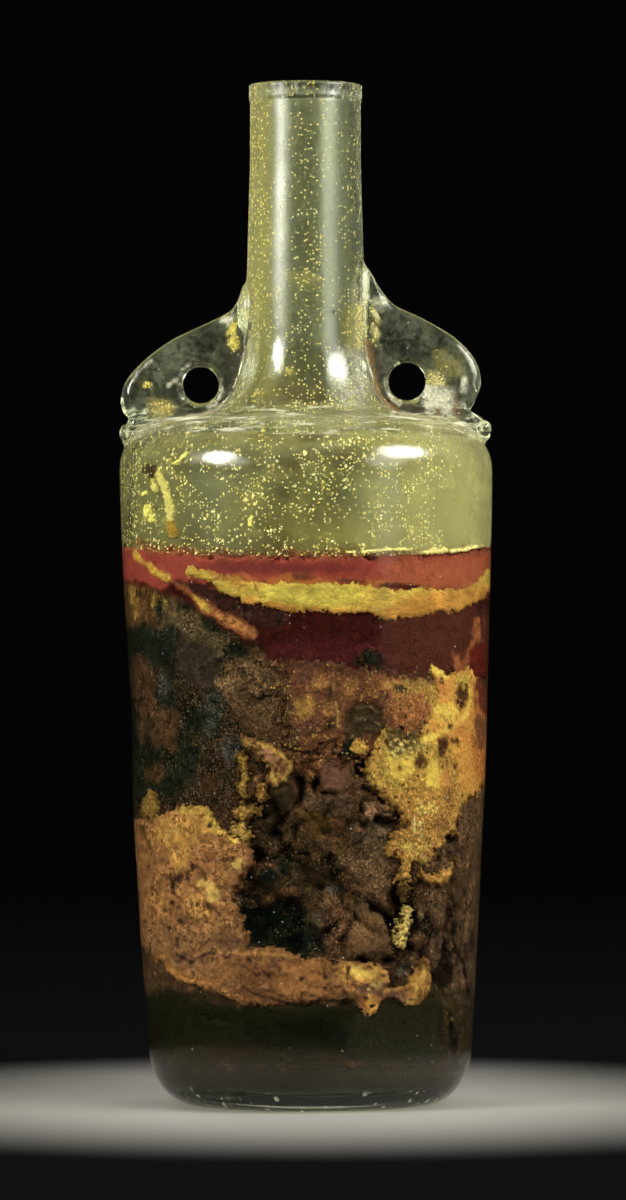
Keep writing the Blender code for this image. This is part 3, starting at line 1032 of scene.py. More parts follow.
dust = flecks(warped(inner_place, 0.8, 0.2), 0.80, 0.38, 0.40, cluster - smooth_side)
crumbs = flecks(warped(inner_place, 0.8, 0.4), 1.3, 0.14, 0.38, cluster * 1.2 - smooth_side)
flakes = flecks(warped(inner_place, 1.2, 1.6), 2.4, 0.05, 0.30, cluster * 0.5 - smooth_side)
any_crumb = dust.maths("MAXIMUM", dust, crumbs.maths("MAXIMUM", crumbs, flakes))
any_crumb = any_crumb * (1 - in_neck * rise(inner_back, -4.0, 2.0))
crumb_film = laid_over(
    thin_film(inner_wire, GOLD_CRUMB),
    rise(cloud(inner_place, 1.6, 2.0), 0.38, 0.56),
    thin_film(inner_wire, CRUMB),
)
dry_skin = laid_over(dry_skin, any_crumb * 0.95, crumb_film)
inner_skin = laid_over(glass(inner_wire, (1.0, 1.0, 1.0), 0.0, WET_INDEX), dry, dry_skin)

vessel.data.materials.clear()
vessel.data.materials.append(done(clear_to_lamps(outer_skin)))
vessel.data.materials.append(done(clear_to_lamps(inner_skin)))
face_places = from_axis(coordinates(vessel.data.polygons, "center"))
in_hollow = off_edges(*face_places, inside_whole) < off_edges(*face_places, outside_whole)
vessel.data.polygons.foreach_set("material_index", in_hollow.astype(np.int32))
vessel_points = coordinates(vessel.data.vertices)
stain_and_highlight_ragged = 0.5 * fractal(vessel_points, 2.0, 3)
stains_and_highlights = painted(vessel_points[:, 0], vessel_points[:, 2], stain_and_highlight_ragged, (0, 0, 0, 0), STAINS_AND_HIGHLIGHTS)
colour_points(vessel.data, stains_and_highlights)
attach(vessel, "root")
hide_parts("bottle")


# The old wine and its dregs fill the bottle to the liquid line: a dark cake that has shrunk from
# the glass in cracks and hollows, over a thin dark liquid at the bottom. It is one solid body.
WET_GAP = 0.12
WALL_FOOT = 12.0
WALL_HEAD = 200.0


def wall_line(profile):
    """The part of a profile that is the upright wall, from its foot up, for interpolation."""
    line = np.array([point for point in profile if WALL_FOOT < point[1] < WALL_HEAD], float)
    return line[np.argsort(line[:, 1])]


OUTSIDE_WALL = wall_line(outside_line)
INSIDE_WALL = wall_line(inside_line)


def bent_rays(height):
    """Azimuths where rays of the front view meet the inner wall, and how far across each shows."""
    outer = np.interp(height, OUTSIDE_WALL[:, 1], OUTSIDE_WALL[:, 0])
    inner = np.interp(height, INSIDE_WALL[:, 1], INSIDE_WALL[:, 0])
    shares = np.sin(np.linspace(-math.pi / 2, math.pi / 2, 181))
    away = np.arcsin(outer * shares / EYE_DISTANCE)
    met = np.arcsin(outer / inner * shares / GLASS_INDEX)
    azimuths = np.arcsin(shares) - away - np.arcsin(shares / GLASS_INDEX) + met
    return azimuths, EYE_DISTANCE * np.tan(away) + lean_at(height), inner


def shown_at(turns, heights):
    """(across, up) of places on the inner wall, row by row. Behind the bottle's edge, across goes
    on along the wall, so that the back has places too."""
    across = np.empty_like(turns)
    inner = np.empty_like(turns)
    for row, height in enumerate(heights[:, 0]):
        azimuths, shows, inner[row] = bent_rays(height)
        beyond = np.clip(np.abs(turns[row]) - azimuths[-1], 0, None)
        along_wall = np.sign(turns[row]) * inner[row] * beyond
        across[row] = np.interp(turns[row], azimuths, shows) + along_wall
    nearer = EYE_DISTANCE - inner * np.cos(turns)
    up = EYE_HEIGHT + (heights - EYE_HEIGHT) * EYE_DISTANCE / nearer
    return across, up


def turn_of(across, height):
    """The azimuth on the inner wall that shows at a place across."""
    azimuths, shows, inner = bent_rays(height)
    beyond = max(0.0, abs(across) - shows[-1])
    return float(np.interp(across, shows, azimuths)) + math.copysign(beyond / inner, across)


def pressed(across, up, ragged, marks):
    """Depths of places: marks (depth, softness, shapes) added up."""
    depth = np.zeros(across.shape)
    for amount, soft, *shapes in marks:
        depth += amount * covered(across, up, ragged, soft, shapes)
    return depth


def caked(name, grain, stops, bump, veins=0.0, bits=(), drawn_out=(1, 1, 1), bubbles=0.0):
    """A finish for dregs and crusts: the painted colour broken up by broad, coarse and fine grain
    (stops says how much each lightens and darkens), dark veins, bits of other colours and bubbles,
    all weaker where the paint's alpha says that it is smooth."""
    wire = start(name)
    place = stretched(in_mm(wire), [1 / stretch for stretch in drawn_out])
    place = warped(place, grain * 1.5, grain * 0.8)
    paint, crumbly = stored_paint(wire)
    broad = cloud(place, grain * 2.4, 3.0, 0.6)
    coarse = cloud(place, grain, 6.0, 0.72)
    fine = cloud(place, GRIT_SIZE, 4.0, 0.85)
    height = broad + coarse + fine * 0.5
    light = (broad - 0.5) * stops[0] + (coarse - 0.5) * stops[1] + (fine - 0.5) * stops[2]
    if bubbles:
        dome = place.node("TexVoronoi", output="Distance", Vector=place, Scale=1 / bubbles)
        height = height - dome * 1.0
        # Painted shade: each bubble is lighter in its middle and darker towards its rim.
        light = light - (dome - 0.4) * 0.9
    if veins:
        off_line = cloud(place, grain * 1.9, 4.0, 0.7) - 0.5
        vein = 1 - rise(off_line.maths("ABSOLUTE", off_line, 0.0), 0.0, 0.045)
        vein = vein * rise(broad, 0.42, 0.6)
        height = height - vein * 0.5
        light = light - vein * veins
    colour = paint.vector("SCALE", Vector=paint, Scale=2.0 ** (light * crumbly))
    for spacing, share, size, bit_colour in bits:
        cluster = (cloud(place, 8.0, 3.0) - 0.5) * 1.6 - (1 - crumbly)
        colour = tint(flecks(place, spacing, share, size, cluster), colour, bit_colour)
    ridges = wire.node("Bump", Strength=bump, Distance=0.0014, Height=height * crumbly)
    return done(
        wire.node(
            "BsdfPrincipled",
            Base_Color=colour,
            Roughness=0.5,
            Specular_IOR_Level=0.03,
            Normal=ridges,
        )
    )


GRIT_SIZE = 0.62
CORE_STEP = 0.85
CORE_COLUMNS = 390
SKIN_HEIGHT = 162.8
SKIN_RADII = (4, 10, 16, 22, 28, 34, 39, 43, 46, 48.5, 50.2)
CORE_FLOOR = 20.0
CORE_FLOOR_RADIUS = 48.0

core_wall = np.arange(SKIN_HEIGHT - 1.2, CORE_FLOOR, -CORE_STEP)
floor_line = [
    point for point in inside_whole if point[1] < CORE_FLOOR + 1 and point[0] < CORE_FLOOR_RADIUS
]
floor_rows = spread(floor_line, lambda heights: np.where(heights > 12.5, 1.0, 2.4))
skin_rows = [(radius, SKIN_HEIGHT) for radius in SKIN_RADII]
wall_rows = [(float(np.interp(z, INSIDE_WALL[:, 1], INSIDE_WALL[:, 0])), z) for z in core_wall]
core_line = np.array([*skin_rows, *wall_rows, *floor_rows[:-1].tolist()])
core_turns = np.linspace(-math.pi, math.pi, CORE_COLUMNS, endpoint=False)
core_turn, core_radius = np.meshgrid(core_turns, core_line[:, 0])
core_height = np.repeat(core_line[:, 1:], CORE_COLUMNS, axis=1)
core_across, core_up = shown_at(core_turn, np.clip(core_height, WALL_FOOT, WALL_HEAD))
core_up += np.clip(core_height - WALL_FOOT, None, 0)
core_bed = core_radius + unevenness(core_turn, core_height)
core_spots = round_axis(core_turn, core_bed, core_height)

NEAR_BLACK = (0.009, 0.0105, 0.0075)
GREEN_BLACK = (0.009, 0.011, 0.008)
DARK_BROWN = (0.035, 0.022, 0.012)
LEFT_BROWN = (0.024, 0.014, 0.009, 1.5)
BLUE_GREY = (0.034, 0.034, 0.036, 1.2)
RUST = (0.062, 0.029, 0.016, 1.1)
EARTH_BROWN = (0.075, 0.036, 0.021)
RED_BROWN = (0.10, 0.042, 0.022)
OLIVE_BROWN = (0.026, 0.014, 0.005, 0.3)
OLIVE_PLANE = (0.055, 0.034, 0.018, 0.5)
PURPLE_PLANE = (0.120, 0.052, 0.040, 0.4)
GREY_TAN = (0.10, 0.055, 0.032)
SMOOTH_GREY = (0.034, 0.023, 0.019, 0.6)
WALNUT = (0.115, 0.060, 0.038)
POOL_BROWN = (0.050, 0.027, 0.015)
PALE_BASE = (0.045, 0.038, 0.024, 0.3)
DIM_BASE = (0.020, 0.016, 0.009, 0.3)
OIL_RED = (0.16, 0.022, 0.014, 0.1)
DARK_WINE = (0.008, 0.007, 0.003, 0.5)
DARKEST_WINE = (0.003, 0.003, 0.001, 0.4)

LEFT_ZONE = patch(
    -80, 148, -30, 148, -14, 146, -12, 136, -14, 118, -22, 108, -22, 90, -40, 86, -60, 84, -76, 92,
    -68, 104, -84, 122,
)
BOTTOM_WINE = between(
    [-140, 31, -50, 34, -20, 30, 10, 30, 30, 31, 44, 30, 140, 31], [-140, 12, 140, 12],
)
BROWN_POOL = patch(-20, 92, 4, 80, 12, 64, 4, 44, -18, 47, -22, 66)
GREEN_POOL = patch(
    -20, 59, -14, 57, -8, 59, -3, 60, 1, 53, 6, 45, -2, 43.5, -10, 46.5, -18, 47, -20, 52,
)
core_marks = (
    (EARTH_BROWN, 6, patch(-14, 120, 10, 133, 40, 130, 45, 110, 30, 88, 28, 60, 10, 60, -10, 86)),
    (RUST, 9, patch(-100, 118, -84, 128, -70, 120, -66, 100, -80, 94, -92, 104),
        oval(96, 70, 14, 10), oval(126, 108, 12, 12), oval(-128, 90, 10, 14)),
    (GREY_TAN, 8, oval(-124, 118, 13, 8), oval(84, 118, 12, 9), oval(108, 48, 14, 9),
        oval(-84, 56, 9, 12)),
    (NEAR_BLACK, 7, oval(-104, 96, 9, 6), oval(-114, 42, 14, 6), oval(74, 62, 6, 14),
        oval(120, 84, 12, 7), oval(138, 60, 10, 14), oval(100, 130, 12, 4)),
    (LEFT_BROWN, 8, LEFT_ZONE),
    (GREEN_BLACK, 7, patch(-70, 144, -46, 143, -38, 137, -40, 124, -36, 112, -34, 96, -58, 90,
        -70, 102, -62, 116, -74, 130)),
    ((0.085, 0.04, 0.018), 5, patch(-66, 160, -48, 156, -42, 150, -45, 143, -62, 142)),
    ((0.095, 0.062, 0.036), 5, patch(-45, 152, -38, 150, -30, 144, -24, 138, -28, 134, -36, 138,
        -45, 145)),
    ((0.3, 0.17, 0.05), 2, stroke(1.6, -52.6, 157, -52.3, 151, -51.5, 146)),
    (RED_BROWN, 2, stroke(1.6, -49.5, 150, -48.5, 143)),
    ((0.22, 0.13, 0.04), 1.6, oval(-46, 151.5, 1.2, 2.4), oval(-44, 149, 1.4, 1.4)),
    (GREEN_BLACK, 2.4, oval(-36, 149, 2.0, 1.6), oval(-27.5, 143, 2.6, 2.6),
        oval(-20, 135, 3.0, 1.9), oval(-44.5, 147, 1.2, 3.4), oval(-49, 139, 3.4, 4.0),
        oval(-40.5, 140, 2.2, 3.2)),
    (EARTH_BROWN, 3, oval(-46, 129, 2.4, 5.0, 10)),
    (EARTH_BROWN, 4, patch(-51, 120, -44, 119, -40, 110, -42, 106, -50, 108)),
    (GREY_TAN, 5, patch(-24, 132, -10, 134, -8, 118, -14, 112, -24, 118)),
    (SMOOTH_GREY, 7, patch(-38, 139, -30, 138, -26, 131, -27, 124, -33, 124, -39, 130)),
    (GREEN_BLACK, 4, patch(-66, 141, -46, 142, -44, 134, -46, 127, -61, 128)),
    (GREEN_BLACK, 3, oval(-27, 145, 4.5, 3.4, 20)),
    (BLUE_GREY, 4, oval(-29, 117, 3.0, 6.5, -15), oval(-23, 105, 3.0, 4.0),
        oval(-44, 124, 2.0, 4.0)),
    (RUST, 3, patch(-53, 133, -48, 132, -46, 120, -52, 117), oval(-41, 112, 2.6, 4.5),
        oval(-46, 98, 2.4, 3.0), oval(-30, 96, 3.0, 2.6)),
    (GREEN_BLACK, 2, oval(-42.5, 133.5, 2.0, 1.8), oval(-20.5, 135, 1.8, 1.4)),
    (NEAR_BLACK, 3, oval(-34, 114, 3.6, 3.4)),
    (NEAR_BLACK, 3, oval(-48, 108, 1.8, 4.2)),
    (NEAR_BLACK, 3, oval(-35.5, 103, 3.0, 5.2)),
    (NEAR_BLACK, 2, oval(-41.5, 101.5, 1.8, 1.8)),
    (NEAR_BLACK, 3, oval(-43, 94, 3.4, 2.4)),
    ((0.25, 0.14, 0.085), 2.5, oval(-24.5, 125.5, 2.4, 3.2)),
    (WALNUT, 5, patch(37, 102, 54, 98, 68, 84, 60, 62, 70, 46, 58, 30, 40, 30, 38, 60)),
    ((0.105, 0.058, 0.04), 5, patch(38, 48, 52, 46, 50, 26, 40, 26)),
    (OLIVE_BROWN, 3, patch(-8, 86, 3, 86.6, 5, 79, -2, 76, -8, 79)),
    (RED_BROWN, 3, patch(-6, 118, 10, 122, 12, 108, 10, 94, 0, 96, -6, 106)),
    (RED_BROWN, 2, patch(4, 99, 12, 99, 12, 94, 4, 94)),
    ((0.34, 0.17, 0.115), 1.6, patch(18, 89, 23, 89.5, 27, 87.5, 26, 84.5, 20, 84.3)),
    (OLIVE_PLANE, 2, patch(-12.5, 95, -8, 96, -4, 95, -4, 87, -7, 83.5, -12, 85)),
    (PURPLE_PLANE, 1.4, patch(3.5, 99, 7, 102.5, 13, 102, 13.5, 96, 10, 93.4, 5, 94.4)),
    ((0.066, 0.037, 0.025, 0.8), 2, patch(0, 92, 8, 91.4, 14.5, 92.5, 14.5, 86.5, 6, 86.5, 1, 88)),
    ((0.048, 0.024, 0.008, 0.5), 2, patch(-2, 86.5, 5, 86.6, 8, 82, 6, 78, 0, 77.5, -3, 80)),
    ((0.115, 0.05, 0.026, 0.5), 1, patch(8.5, 85.6, 13, 85.6, 13.6, 82, 10.5, 80.8, 8, 82.5)),
    ((0.16, 0.1, 0.05, 0.5), 0.5, stroke(0.4, 13.6, 86, 13.9, 83, 12.5, 80.8)),
    ((0.095, 0.058, 0.038, 0.9), 2, patch(15, 83, 22, 84, 27, 82, 27, 76, 20, 74.6, 15.5, 77)),
    ((0.14, 0.058, 0.036), 1.4, oval(16.8, 81.6, 1.6, 1.2)),
    ((0.2, 0.115, 0.045), 1.6, oval(6, 75.6, 1.6, 1.0), oval(10.5, 75.6, 2.2, 1.8)),
    ((0.34, 0.22, 0.1), 0.6, stroke(0.6, 9.4, 73, 11.4, 73.2), stroke(0.5, 4.8, 75.8, 6.2, 76.2)),
    ((0.105, 0.054, 0.032), 3, patch(-5, 75, 6, 76, 7, 66, 2, 62, -4, 64)),
    ((0.12, 0.064, 0.04), 3, patch(12, 72, 27, 72, 27, 62, 16, 64)),
    (POOL_BROWN, 6, BROWN_POOL),
    ((0.034, 0.046, 0.034), 3, GREEN_POOL),
    ((0.11, 0.048, 0.03), 2, oval(-10.3, 76, 2.0, 1.6), oval(-13, 71, 1.8, 1.4)),
    ((0.15, 0.066, 0.036), 1.6, stroke(2.4, -12, 60, -8, 62, -4.6, 63.4)),
    (GREEN_BLACK, 1.6, oval(-9.4, 79.9, 2.0, 1.0), oval(-12, 67, 2.6, 2.0),
        oval(-6.4, 70, 1.6, 2.0)),
    ((0.072, 0.048, 0.036, 0.6), 2, patch(1.5, 56, 6, 58, 7.5, 50, 5, 46.5, 2, 49.5)),
    ((0.05, 0.05, 0.052, 0.6), 1.4, patch(7, 64.4, 12, 64.4, 11, 61.8, 8, 61.4)),
    ((0.085, 0.05, 0.024, 0.5), 1.2, patch(9, 62, 15.6, 61.6, 16, 57, 12.5, 55.6, 9, 57)),
    ((0.135, 0.078, 0.056, 0.35), 1.4, patch(16, 60.5, 19, 60, 23.4, 57, 25.4, 53, 24.6, 47.5,
        18, 46.6, 12.6, 48.4, 15, 54)),
    ((0.15, 0.1, 0.065, 0.4), 1, oval(36.3, 56, 0.8, 2.0)),
    ((0.2, 0.085, 0.05), 0.9, stroke(1.2, 42.6, 50.6, 44.4, 52.4, 45.8, 54.2)),
    ((0.13, 0.075, 0.05), 0.9, stroke(1.3, 41.7, 63.6, 41.7, 57.4)),
    (GREEN_BLACK, 1.2, oval(40.8, 51, 0.9, 2.2), oval(46.4, 53, 0.7, 2.0), oval(26.8, 54, 1.0, 2.0),
        oval(30, 40.6, 3.0, 1.6)),
    ((0.06, 0.056, 0.056, 0.7), 1.2, oval(29.6, 38.8, 1.7, 1.5)),
    ((0.125, 0.062, 0.036, 0.4), 2, patch(17, 58.5, 22, 57, 26, 51, 26, 48, 24, 46, 18, 45,
        13.5, 47.5, 15, 54)),
    (EARTH_BROWN, 2.5, patch(7, 62, 13, 62, 15, 55, 11, 47, 7, 47, 5, 54)),
    (DARK_BROWN, 3, between([-140, 34, -20, 33, 30, 34, 140, 34], [-140, 30, 140, 30])),
    (DARK_WINE, 4, BOTTOM_WINE),
    (DARKEST_WINE, 4, oval(0, 19, 17, 6)),
    ((0.014, 0.012, 0.007, 0.3), 8, patch(16, 29, 40, 27, 40, 12, 16, 12)),
    ((0.016, 0.01, 0.004, 0.3), 2.5, patch(-44, 16, -20, 17, 10, 15, 8, 11, -20, 10, -43, 11)),
    (DARK_BROWN, 3, patch(42, 30, 52, 30, 50, 10, 42, 10)),
    (DIM_BASE, 2, between([-140, 10.5, 140, 10.5], [-140, -12, 140, -12])),
    (PALE_BASE, 5, patch(8, 9, 52, 9, 50, -4, 8, -3)),
    (OIL_RED, 3, between([-140, 190, 140, 190], [-140, 156, 140, 156])),
)
CREVICES = several(
    patch(-2.5, 97, 0.5, 96, -1, 90, -7, 83, -8, 85, -3, 91), oval(-9.5, 80, 3.0, 1.3),
    oval(-14.5, 74.5, 2.0, 1.8), oval(3.5, 96, 1.6, 3.4), oval(17, 100.3, 1.7, 2.2),
    oval(17.2, 88, 1.0, 1.8), oval(18.2, 83.3, 2.0, 1.4), oval(25, 84.2, 2.2, 1.0),
    stroke(1.4, 18, 94, 21, 92.5, 26, 89.5), oval(45.5, 81, 1.8, 5.0), oval(41.7, 72.5, 1.5, 1.8),
    oval(26.7, 53.5, 1.4, 1.3), oval(34, 53.5, 1.2, 2.2), oval(38.7, 51.5, 1.4, 2.6),
    oval(43.5, 46.5, 0.9, 2.7), oval(43, 38, 2.8, 3.2), oval(13, 63, 1.2, 1.1),
    oval(20, 42, 2.2, 0.7), oval(26, 42, 3.2, 1.1), oval(44, 20, 1.2, 5.5),
    stroke(1.2, 12, 63.5, 18, 61, 23, 57.5, 27, 54),
    stroke(1.1, 15.8, 61, 15.6, 57, 14, 53, 12.4, 50, 11, 48.5),
    stroke(0.7, 2.4, 99.3, 3, 95, 4.8, 92.8, 9, 92.2),
)
core_pits = (
    (2.6, 2.0, CREVICES),
    (2.4, 4.0, GREEN_POOL),
    (1.2, 6.0, BROWN_POOL),
    (0.9, 5.0, patch(27, 68, 40, 70, 52, 60, 52, 32, 38, 32, 30, 46)),
    (1.4, 4.0, patch(26, 68, 31, 66, 33, 60, 31, 44, 27, 42, 26, 48)),
    (1.5, 5.0, oval(-104, 96, 8, 5), oval(74, 62, 5, 12), oval(120, 84, 11, 6),
        oval(138, 60, 9, 12), stroke(3, -80, 130, -92, 112, -90, 84),
        stroke(2.4, 96, 126, 104, 108, 92, 92)),
)
LUMP_SIZE = 13.0
LUMP_GROOVE = 1.3
CORE_GAP = 0.42


def lumps_at(points, size, roundness):
    """How deep in a groove between lumps places are, from 0 to 1, and a shade for each lump."""
    pushes = [fractal(points, size * 0.6, 2, seed) for seed in (1.0, 20.0, 40.0)]
    pushed = points / size + 0.25 * np.stack(pushes, axis=-1)
    groove, shade = [], []
    for point in pushed.reshape(-1, 3).tolist():
        away, seeds = noise.voronoi(point)
        groove.append(math.sqrt(away[1]) - math.sqrt(away[0]))
        shade.append(math.sin(seeds[0][0] * 91 + seeds[0][2] * 47))
    shape = points.shape[:-1]
    return 1 - step_up(np.reshape(groove, shape), 0.0, roundness), np.reshape(shade, shape)


core_ragged = fractal(core_spots, 7.0, 4)
core_fine = fractal(core_spots, 2.6, 3, 9.0)
core_pit = pressed(core_across, core_up, core_ragged, core_pits)
groove, lump_shade = lumps_at(core_spots, LUMP_SIZE, 0.13)
upright = step_up(core_height, 30, 34) * step_up(-core_height, -152, -146)
rocky = step_up(core_across, -26, -16) * step_up(-core_up, -112, -100) * upright
rocky = rocky * step_up(fractal(core_spots, 16.0, 2, 70.0), -0.35, 0.1)
core_pit += LUMP_GROOVE * groove * rocky
core_rough = np.clip(0.25 + 1.5 * core_ragged, 0, 1.6) + 0.35 * np.clip(core_fine, -0.5, 1)
behind_oil = 1.4 * step_up(core_up, 136, 146)
core_depth = CORE_GAP + (0.7 + core_pit + np.clip(core_rough, 0, 3)) * upright + behind_oil
core_paint = painted(core_across, core_up, core_ragged, EARTH_BROWN, core_marks)
# Painted shade: pits, crevices, pools and grooves are painted darker the deeper they go.
core_paint[..., :3] *= (1 - 0.85 * step_up(core_pit, 0.5, 2.4))[..., None]
core_paint[..., :3] *= (2 ** (0.6 * lump_shade * rocky))[..., None]
core_normal = np.gradient(core_line, axis=0)
core_normal /= np.linalg.norm(core_normal, axis=1)[:, None]
core_r = core_bed + core_depth * core_normal[:, 1:]
core_z = core_height - core_depth * core_normal[:, :1]
core_ends = [[0, 0, SKIN_HEIGHT - CORE_GAP], [LEAN, 0, floor_rows[-1, 1] + CORE_GAP]]
old_wine = facing_out(
    mesh_object(
        "old_wine",
        np.vstack([at_wall(core_turn, core_r, core_z).reshape(-1, 3), core_ends]),
        capped_faces(len(core_line), CORE_COLUMNS),
    )
)
colour_points(old_wine.data, np.vstack([core_paint.reshape(-1, 4), [OIL_RED, DIM_BASE]]))
dregs_finish = caked(
    "old_dregs", 2.6, (3.4, 6.0, 12.0), 1.0, 1.3,
    ((0.8, 0.1, 0.36, (0.2, 0.1, 0.04)), (0.7, 0.04, 0.3, (0.25, 0.24, 0.2))),
)
old_wine.data.materials.append(dregs_finish)
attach(old_wine, "root")


# The red oil lies on top, over a darker maroon layer. Both are smooth, cling to the glass, and
# creep up it a little at the sides.
CRUST_MARGIN = 2.0
CLOSED_SPAN = 200
WALL_MEAN = 52
ISLAND_REACH = -7
BACKING = 0.5


def wall_grid(span, step):
    """Azimuths and heights of a grid on the inner wall that takes in a span of places."""
    left, right, low, high = span
    closed = right - left > CLOSED_SPAN
    if closed:
        turns = np.linspace(-math.pi, math.pi, int(math.tau * WALL_MEAN / step), endpoint=False)
    else:
        middle = (low + high) / 2
        ends = turn_of(left - CRUST_MARGIN, middle), turn_of(right + CRUST_MARGIN, middle)
        turns = np.linspace(*ends, int((ends[1] - ends[0]) * WALL_MEAN / step))
    heights = np.arange(low - CRUST_MARGIN, high + CRUST_MARGIN, step)
    return *np.meshgrid(turns, heights[::-1]), closed


def crust(name, shape, span, step, finish, base, marks=(), thick=0.7, brim=1.2, gap=WET_GAP,
          wobble=0.5, wobble_size=5.0, scatter=0.0, relief=0.25, relief_size=3.5, beads=(),
          pits=(), skirt=1.3):
    """A crust on the inner wall, at full thickness inside its shape and rounded off at the brim.
    Its edge wobbles, scatter adds islands near it, and relief, beads and pits shape its face, which
    stands off the glass by the gap. The skirt is how far the sheet goes on beyond its shape."""
    turn, height, closed = wall_grid(span, step)
    across, up = shown_at(turn, height)
    bed = np.interp(height, INSIDE_WALL[:, 1], INSIDE_WALL[:, 0]) + unevenness(turn, height)
    spots_on = round_axis(turn, bed, height)
    ragged = fractal(spots_on, wobble_size, 4, 3.0)
    form = shape(across, up)
    frayed = fractal(spots_on, wobble_size / 3, 4, 8.0, 0.4)
    inside = form + wobble * (1.6 * ragged + 1.6 * frayed)
    islands = 2.4 * fractal(spots_on, 2.2, 3, 30.0) - 1.5 + 0.28 * form
    islands = scatter * islands - 4 * (1 - scatter)
    inside = np.maximum(inside, np.where(form > ISLAND_REACH, islands, -9))
    fall = np.clip(1 - inside / brim, 0, 1)
    full = np.clip(inside / brim, 0, 1)
    rounded_off = thick * (1 - np.sqrt(np.clip(1 - fall**2, 0, 1)))
    depth = gap + rounded_off + 1.8 * np.clip(-inside, 0, None)
    depth += relief * np.clip(0.5 + 1.6 * fractal(spots_on, relief_size, 3, 5.0), 0, 1) * full
    sunk = np.zeros(depth.shape)
    for bead_size, bead_depth in beads:
        sunk += bead_depth * lumps_at(spots_on, bead_size, 0.5)[0] * full
    pit = pressed(across, up, ragged, pits)
    depth += sunk
    depth += pit
    paint = painted(across, up, ragged, base, marks)
    # Painted shade: darker where the crust rounds off at its edge, and in its pits and bead
    # grooves.
    paint[..., :3] *= (1 - 0.3 * fall**2 - 0.5 * step_up(pit + sunk, 0.1, 0.8))[..., None]
    faces = sheet_faces(*turn.shape, closed)
    kept = (inside > -skirt).ravel()[faces].all(axis=-1)
    made = mesh_object(
        name, at_wall(turn, bed - depth, height).reshape(-1, 3), faces[kept].tolist()
    )
    colour_points(made.data, paint)
    with edited(made.data) as sheet:
        loose = [vertex for vertex in sheet.verts if not vertex.link_faces]
        bmesh.ops.delete(sheet, geom=loose, context="VERTS")
    backing = made.modifiers.new("backing", "SOLIDIFY")
    backing.thickness = (thick + BACKING) * MM
    backing.offset = -1.0
    made.data.materials.append(finish)
    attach(made, "root")
    return made


AROUND = (-140, 140)
CRIMSON = (0.215, 0.037, 0.032, 0.22)
DEEP_CRIMSON = (0.13, 0.022, 0.024, 0.22)
SALMON = (0.28, 0.070, 0.040, 0.25)
SALMON_EDGE = (0.19, 0.046, 0.032, 0.25)
ORANGE_WAVE = (0.28, 0.085, 0.030, 0.3)
MAROON = (0.030, 0.004, 0.0035, 0.5)
MAROON_LOW = (0.048, 0.007, 0.009, 0.5)
MAROON_PAINTED_GLOW = (0.066, 0.017, 0.013, 0.4)
PURPLE_GREY = (0.036, 0.013, 0.012, 0.9)
RIBBON_BROWN = (0.19, 0.060, 0.030, 0.5)
RIBBON_YELLOW = (0.42, 0.25, 0.052, 0.4)
DRIP_SALMON = (0.27, 0.085, 0.040, 0.5)
oil_top = [-140, 164, -70, 165.5, -56, 168, -54, 167.3, -50, 166, -42, 165, -35, 164.5, -28, 163.5,
    0, 163.5, 20, 163.8, 40, 164.3, 50, 165, 54, 166, 56, 166.6, 70, 164.5, 140, 164]
sheet_bottom = [-140, 124, -58, 122, -50, 119, -40, 122, -30, 120, -20, 123, -12, 121, 5, 122,
    32, 122, 38, 127, 44, 128.5, 56, 127, 90, 124, 140, 124]
maroon_bottom = [-140, 140, -70, 150, -57, 157, -50, 154.5, -44, 152.5, -38, 151, -32, 147,
    -26, 142, -18, 138.5, -13, 136.5, -10, 133, -6, 131.5, 5, 130, 20, 129, 35, 127, 56, 124,
    90, 130, 140, 140]
crimson_bottom = [-140, 156, -58, 158, -50, 156.5, -44, 153, -40, 156, -36, 157, -24, 156, 0, 154,
    140, 155]
edge_bottom = [-140, 162.8, -50, 164.8, -42, 163.9, -28, 162.7, 0, 162.5, 20, 162.7, 50, 164,
    140, 163]
sky = [-140, 190, 140, 190]
